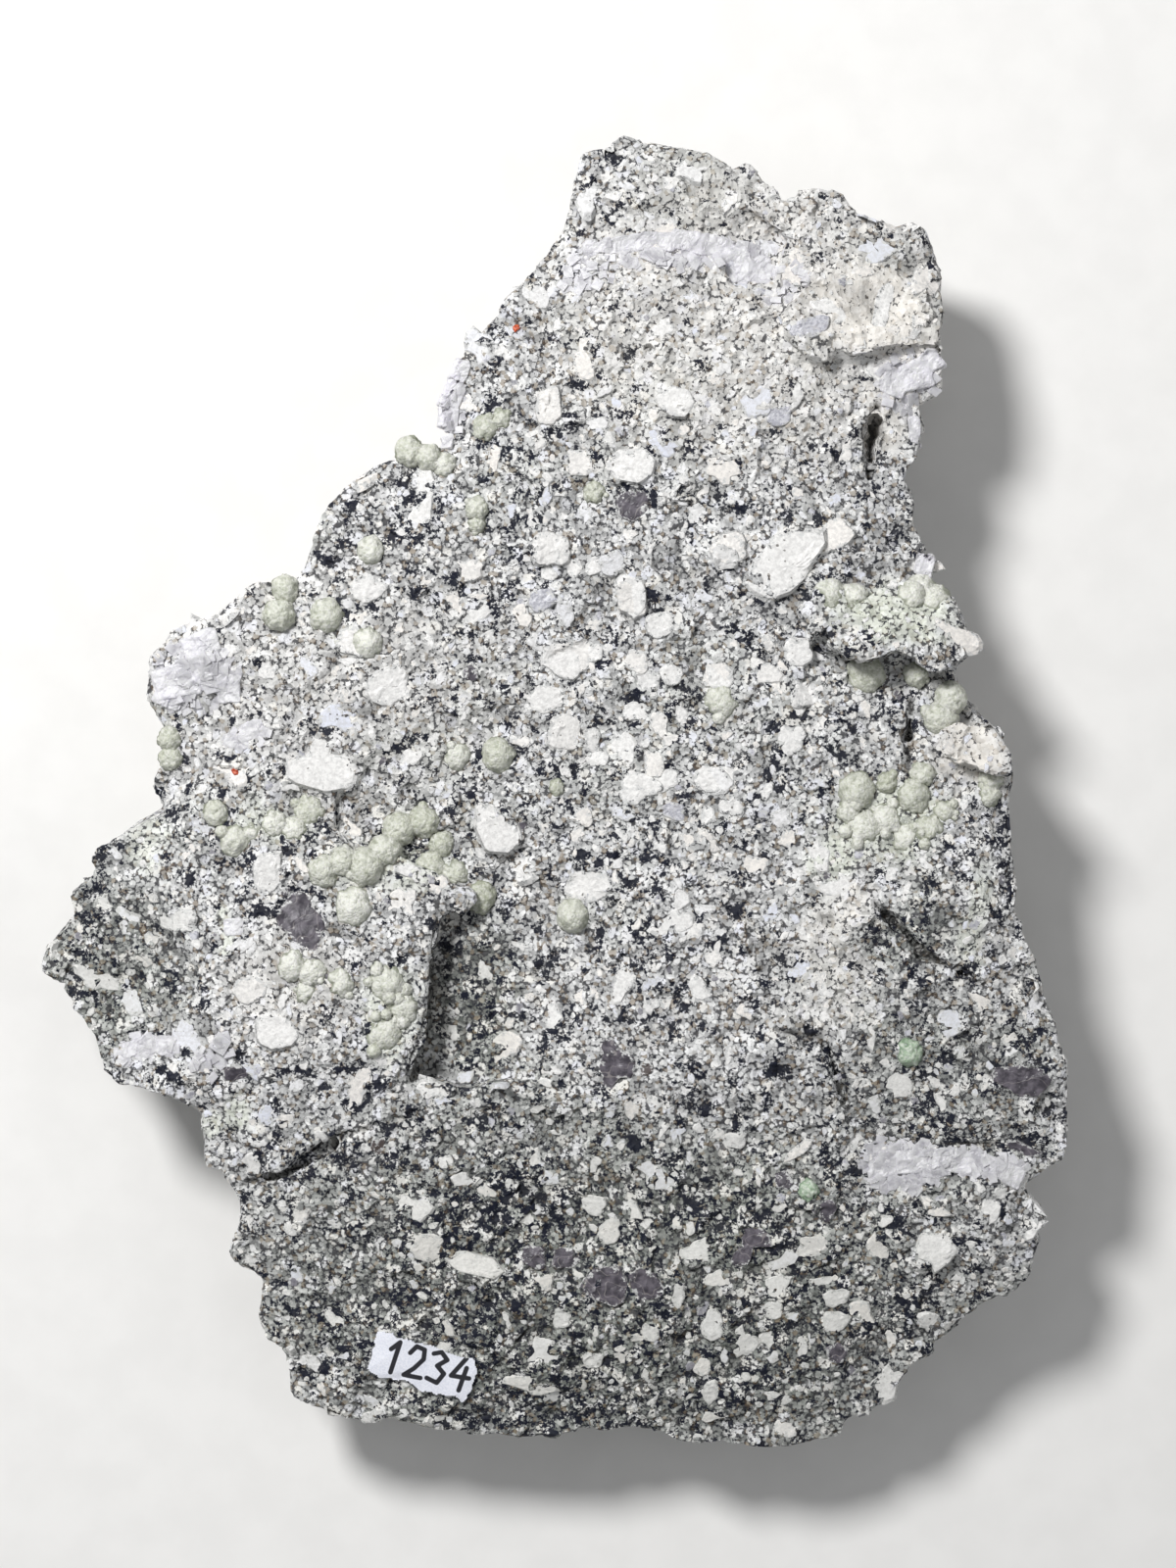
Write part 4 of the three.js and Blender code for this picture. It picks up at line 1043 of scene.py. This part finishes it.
BALL_SCALE, BALL_SPREAD, BALL_HEIGHT = 0.90, 0.18, 0.94
BALL_SALT = 500
FULL_LUMPS = 1.4  # smallest radius of a ball with its lumps in full
FOOT = 0.35  # painted shade darkens a ball this near to the rock
CALCITE_VOXEL = 0.22
CALCITE_SHARE = 0.35  # how much of its height above the rock the calcite keeps
CALCITE_SINK = 0.1
BLOCK_FACES = (
    (0, 2, 3), (0, 3, 1), (4, 5, 7), (4, 7, 6), (0, 1, 5), (0, 5, 4),
    (2, 6, 7), (2, 7, 3), (0, 4, 6), (0, 6, 2), (1, 3, 7), (1, 7, 5),
)


def sphere(level):
    """Points and triangles of a round ball of radius 1."""
    mesh = bpy.data.meshes.new("ball")
    shape = bmesh.new()
    bmesh.ops.create_icosphere(shape, subdivisions=level, radius=1.0)
    shape.to_mesh(mesh)
    shape.free()
    points, faces, _ = read_mesh(mesh)
    return points * MM, faces


def tree_of_node(node):
    """A solid's faces, for rays."""
    points, faces, _ = read_mesh(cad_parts[node].data)
    return BVHTree.FromPolygons(points.tolist(), faces.tolist())


def fluorite_ball(ball, centre, radius, tone, salt, surface):
    """A rounded group of crystals with low facets, in petals round its middle."""
    ball_points, ball_faces = ball
    stretch = BALL_SCALE + BALL_SPREAD * scramble(np.arange(3), np.arange(3), np.arange(3), salt)
    p = ball_points * radius * stretch * (1, 1, BALL_HEIGHT) + centre
    lump = facets(p, 1.1, salt, 0.14, 0.03) + facets(p, 0.45, salt + 20, 0.34, 0.03)
    lump += 0.08 * noise(p, 1.9, 510)
    way = np.arctan2(ball_points[:, 1], ball_points[:, 0])
    out = np.hypot(ball_points[:, 0], ball_points[:, 1])
    petals = np.cos((5 + salt % 4) * way + 2.5 * noise(p, 1.2, 511)) * np.clip(1.6 * out, 0, 1)
    lump += 0.05 * petals
    p = p + ball_points * (lump * min(1, radius / FULL_LUMPS))[:, None]
    # Painted shade at the foot, darkest where the ball meets the rock.
    sunk = np.clip(1 - (p[:, 2] - surface.levels_below(p)) / FOOT, 0, 1)
    groove_shade = np.clip(-petals - 0.55, 0, 1) * 2
    return p, ball_faces, {"tone": np.full(len(p), tone), "sunk": sunk, "groove_shade": groove_shade}


def small_balls(ball, beside, radius, tone, first_salt, surface, count, rng):
    """Small balls round the foot of a large one, where the rock is about as high as its foot."""
    x, y, foot_level = beside
    parts = []
    for _ in range(count):
        way, size = rng.random() * 2 * math.pi, radius * rng.uniform(0.2, 0.42)
        far = radius * rng.uniform(0.75, 1.0)
        foot, _ = surface.below(x + far * math.cos(way), y + far * math.sin(way))
        if abs(foot[2] - foot_level) < radius:
            own_tone = np.clip(tone + rng.uniform(-0.3, 0.2), 0, 1)
            centre = foot + (0, 0, size * 0.1)
            parts.append(fluorite_ball(ball, centre, size, own_tone, first_salt + len(parts), surface))
    return parts


def make_fluorite(materials, surface, rng):
    """Each cluster's balls, with small ones crowded round their feet."""
    large, small = sphere(4), sphere(3)
    for cluster, balls in FLUORITE.items():
        name = "fluorite_" + cluster
        tree = tree_of_node(name)
        parts = []
        for px, py, diameter, tone in balls:
            x, y = place(px, py)
            radius = diameter / 2 / PIXELS_PER_MM
            hit = tree.ray_cast(Vector((x, y, SKY)), DOWN)[0]
            ground = surface.below(x, y)[0][2]
            proud = hit.z - ground if hit is not None else radius
            top = ground + proud * LOW_CLUSTERS.get(cluster, OTHER_CLUSTERS)
            centre = (x, y, top - 0.97 * radius)
            parts.append(fluorite_ball(large, centre, radius, tone, BALL_SALT + len(parts), surface))
            count = rng.integers(2, 5) if cluster in CRUMBLY else rng.integers(0, 2)
            salt = BALL_SALT + len(parts)
            parts += small_balls(small, (x, y, top - radius), radius, tone, salt, surface, count, rng)
        points, faces, attributes = joined(parts)
        material = materials["green"] if cluster in BRIGHT_GREEN else materials["fluorite"]
        finish_piece(new_piece(name, points, faces, material, attributes, smooth=True), "fluorite", name)


def make_calcite(material, surface):
    """The seams and patches, lying nearly level with the rock around them."""
    for name in [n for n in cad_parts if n.startswith("calcite")]:
        points, faces, normals = read_mesh(remeshed(name, CALCITE_VOXEL))
        height = facets(points, 1.6, 600, 0.07, 0.05) + facets(points, 0.6, 700, 0.12, 0.025)
        height *= np.clip(normals[:, 2] * 2 + 0.8, 0.1, 1)
        proud = np.maximum(points[:, 2] - surface.levels_below(points), 0)
        moved = points + normals * height[:, None]
        moved[:, 2] -= (1 - CALCITE_SHARE) * proud + CALCITE_SINK
        finish_piece(new_piece(name, moved, faces, material), "calcite", name)


def make_calcite_grains(surface, material, rng):
    """Tilted blocks of calcite, half sunk in the rock beside the seams and patches."""
    corner_signs = np.array([(i, j, k) for k in (-1, 1) for j in (-1, 1) for i in (-1, 1)], float)
    points, faces = [], []
    for px, py, half_width, half_height, turn, count in CALCITE_SPREAD:
        c, s = math.cos(math.radians(turn)), math.sin(math.radians(turn))
        for _ in range(count):
            way, out = rng.random() * 2 * math.pi, math.sqrt(rng.random())
            u, v = math.cos(way) * out * half_width, math.sin(way) * out * half_height
            spot, normal = surface.below(*place(px + u * c + v * s, py - u * s + v * c))
            size = rng.uniform(0.4, 1.1) * (1 - 0.4 * out)
            lean = Vector(normal) + Vector(rng.normal(0, 0.08, 3))
            turned = lean.to_track_quat("Z", "Y").to_matrix()
            spun = np.array(turned) @ rotation_about_z(rng.random() * math.pi)
            shape = corner_signs * (size, size * rng.uniform(0.5, 1), size * 0.4)
            shape[:, 0] += 0.25 * shape[:, 2]
            shape *= 1 + rng.normal(0, 0.08, shape.shape)
            faces.append(np.array(BLOCK_FACES) + len(points) * 8)
            points.append(shape @ spun.T + spot + normal * size * rng.uniform(-0.36, -0.12))
    points = np.concatenate(points)
    finish_piece(new_piece("calcite_grains", points, np.concatenate(faces), material), "calcite")


def rotation_about_z(angle):
    c, s = math.cos(angle), math.sin(angle)
    return np.array([(c, -s, 0), (s, c, 0), (0, 0, 1)])


# The label

LABEL_MESH = 0.11
LABEL_LEVEL = 17.0
PAPER = 0.28
DIGIT_HEIGHT = 3.5
DIGIT_WIDTH = 0.75 * DIGIT_HEIGHT
DIGIT_ADVANCE = 2.5
STROKE = 0.26
DIGITS = {
    "1": [[(0.25, 0.72), (0.55, 1.0), (0.45, 0.0)]],
    "2": [[(0.1, 0.75), (0.3, 1.0), (0.65, 0.95), (0.7, 0.65), (0.4, 0.3), (0.05, 0.02), (0.75, 0.05)]],
    "3": [[(0.1, 0.9), (0.4, 1.0), (0.7, 0.8), (0.35, 0.55), (0.7, 0.35), (0.5, 0.02), (0.05, 0.1)]],
    "4": [[(0.5, 1.0), (0.05, 0.35), (0.8, 0.4)], [(0.6, 0.7), (0.5, -0.05)]],
}
NUMBER = "1234"
NUMBER_START = (386, 1402)
NUMBER_SLOPE = math.radians(-14)


def ink_strokes():
    """The number's strokes as millimetre routes on the front."""
    start = place(*NUMBER_START)
    along = np.array([math.cos(NUMBER_SLOPE), math.sin(NUMBER_SLOPE)])
    up = np.array([-along[1], along[0]])
    strokes = []
    for n, digit in enumerate(NUMBER):
        corner = start + along * n * DIGIT_ADVANCE
        for stroke in DIGITS[digit]:
            line = [corner + along * u * DIGIT_WIDTH + up * v * DIGIT_HEIGHT for u, v in stroke]
            strokes.append(np.array(line))
    return strokes


def paper_faces(cells, count):
    """Triangles of a sheet's front, back and sides. The back's points come count after the front's."""
    faces = []
    sides = {}
    for a, b, c, d in cells:
        faces += [(a, b, c), (a, c, d)]
        faces += [(c + count, b + count, a + count), (d + count, c + count, a + count)]
        for side in ((a, b), (b, c), (c, d), (d, a)):
            sides[side] = True
    for a, b in sides:
        if (b, a) not in sides:
            faces += [(b, a, a + count), (b, a + count, b + count)]
    return np.array(faces)


def make_label(material):
    """A paper skin with a fine mesh, cut to the label's outline and laid on its solid."""
    corners = np.array([place(*p) for p in LABEL])
    low, high = corners.min(axis=0) - LABEL_MESH, corners.max(axis=0) + LABEL_MESH
    columns, rows = np.ceil((high - low) / LABEL_MESH).astype(int)
    across, along = low[0] + np.arange(columns + 1) * LABEL_MESH, low[1] + np.arange(rows + 1) * LABEL_MESH
    xy = np.stack([g.ravel() for g in np.meshgrid(across, along)], axis=1)
    torn = 0.14 * noise(np.column_stack([xy, np.zeros(len(xy))]), 0.5, 800)
    edge = distance_to_outline(xy, LABEL)
    inside = np.where(inside_outline(xy, LABEL), edge, -edge) + torn > 0
    tree = tree_of_node("number_label")
    z = np.empty(len(xy))
    for n, (x, y) in enumerate(xy):
        hit = tree.ray_cast(Vector((x, y, SKY)), DOWN)[0]
        if hit is None:
            hit = tree.find_nearest(Vector((x, y, LABEL_LEVEL)))[0]
        z[n] = hit.z
    z += 0.06 * noise(np.column_stack([xy, z]), 1.5, 801)
    ink = np.zeros(len(xy))
    for line in ink_strokes():
        ink = np.maximum(ink, np.clip(0.5 + (STROKE - distance_to_line(xy, line)) / (2 * STROKE), 0, 1))
    row = columns + 1
    starts = [j * row + i for j in range(rows) for i in range(columns)]
    cells = [(n, n + 1, n + row + 1, n + row) for n in starts]
    faces = paper_faces([cell for cell in cells if inside[list(cell)].all()], len(xy))
    used, faces = np.unique(faces, return_inverse=True)
    sheet = np.concatenate([np.column_stack([xy, z]), np.column_stack([xy, z - PAPER])])
    ink = np.concatenate([ink, ink * 0])
    piece = new_piece("number_label", sheet[used], faces.reshape(-1, 3), material, {"ink": ink[used]})
    finish_piece(piece, "label_paper", "number_label")


# Stage

FLOOR_HALF = 600.0


def make_floor():
    """A wide pale floor just under the slab."""
    m = Nodes("pale_floor")
    grain = m.noise(6, detail=4)
    colour = m.mix(m.between(grain, 0.3, 0.7), (0.80, 0.79, 0.77), (0.83, 0.82, 0.80))
    material = m.set(Base_Color=colour, Roughness=0.9)
    corners = [(x * FLOOR_HALF, y * FLOOR_HALF, -0.05) for x, y in ((-1, -1), (1, -1), (1, 1), (-1, 1))]
    new_piece("floor", np.array(corners), np.array([(0, 1, 2), (0, 2, 3)]), material)


def area_light(name, position, size, power):
    """A round soft lamp that faces the slab."""
    data = bpy.data.lights.new(name, "AREA")
    data.shape = "DISK"
    data.size = size
    data.energy = power
    lamp = bpy.data.objects.new(name, data)
    lamp.location = position
    lamp.rotation_euler = (-Vector(position)).to_track_quat("-Z", "Y").to_euler()
    bpy.context.scene.collection.objects.link(lamp)


def make_lights():
    """A small key light from the upper left, a wide weak one and pale air."""
    area_light("key", (-0.21, 0.25, 0.44), 0.13, 3.05)
    area_light("fill", (0.5, -0.2, 0.6), 0.6, 0.6)
    world = bpy.data.worlds.new("studio")
    world.use_nodes = True
    background = world.node_tree.nodes["Background"]
    background.inputs["Color"].default_value = (0.95, 0.97, 1.0, 1)
    background.inputs["Strength"].default_value = 0.27
    bpy.context.scene.world = world


CAMERA_DISTANCE = 450.0
SENSOR = 36.0


def make_camera():
    """Straight above the slab, so that the picture shows what the pixels above were read from."""
    data = bpy.data.cameras.new("camera")
    data.sensor_width = SENSOR
    data.lens = SENSOR * CAMERA_DISTANCE / (PICTURE[1] / PIXELS_PER_MM)
    data.clip_start, data.clip_end = 0.01, 10
    camera = bpy.data.objects.new("camera", data)
    x, y = place(PICTURE[0] / 2, PICTURE[1] / 2)
    camera.location = Vector((x, y, FACE_LEVEL + CAMERA_DISTANCE)) * MM
    bpy.context.scene.collection.objects.link(camera)
    bpy.context.scene.camera = camera


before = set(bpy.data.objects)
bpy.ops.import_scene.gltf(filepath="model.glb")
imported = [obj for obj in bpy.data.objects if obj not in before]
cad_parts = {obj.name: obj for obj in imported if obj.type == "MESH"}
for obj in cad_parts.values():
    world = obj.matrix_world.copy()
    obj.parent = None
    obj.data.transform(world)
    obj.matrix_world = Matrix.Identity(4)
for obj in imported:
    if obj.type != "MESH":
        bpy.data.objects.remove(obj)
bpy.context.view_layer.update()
rng = np.random.default_rng(7)

materials = {
    "rock": rock_material(),
    "feldspar": feldspar_material(),
    "quartz": quartz_material(),
    "garnet": garnet_material(),
    "fluorite": fluorite_material("fluorite", (0.83, 0.83, 0.76), (0.47, 0.49, 0.38), (0.24, 0.26, 0.18)),
    "green": fluorite_material("green_fluorite", (0.58, 0.67, 0.53), (0.36, 0.49, 0.34), (0.16, 0.26, 0.15)),
    "calcite": calcite_material(),
    "paper": paper_material(),
}

surface = Surface(*make_rock(materials["rock"]))
make_grains(surface, materials, rng)
make_fluorite(materials, surface, rng)
make_calcite(materials["calcite"], surface)
make_calcite_grains(surface, materials["calcite"], rng)
make_label(materials["paper"])
make_floor()
make_lights()
make_camera()

bpy.context.scene.view_settings.view_transform = "Standard"
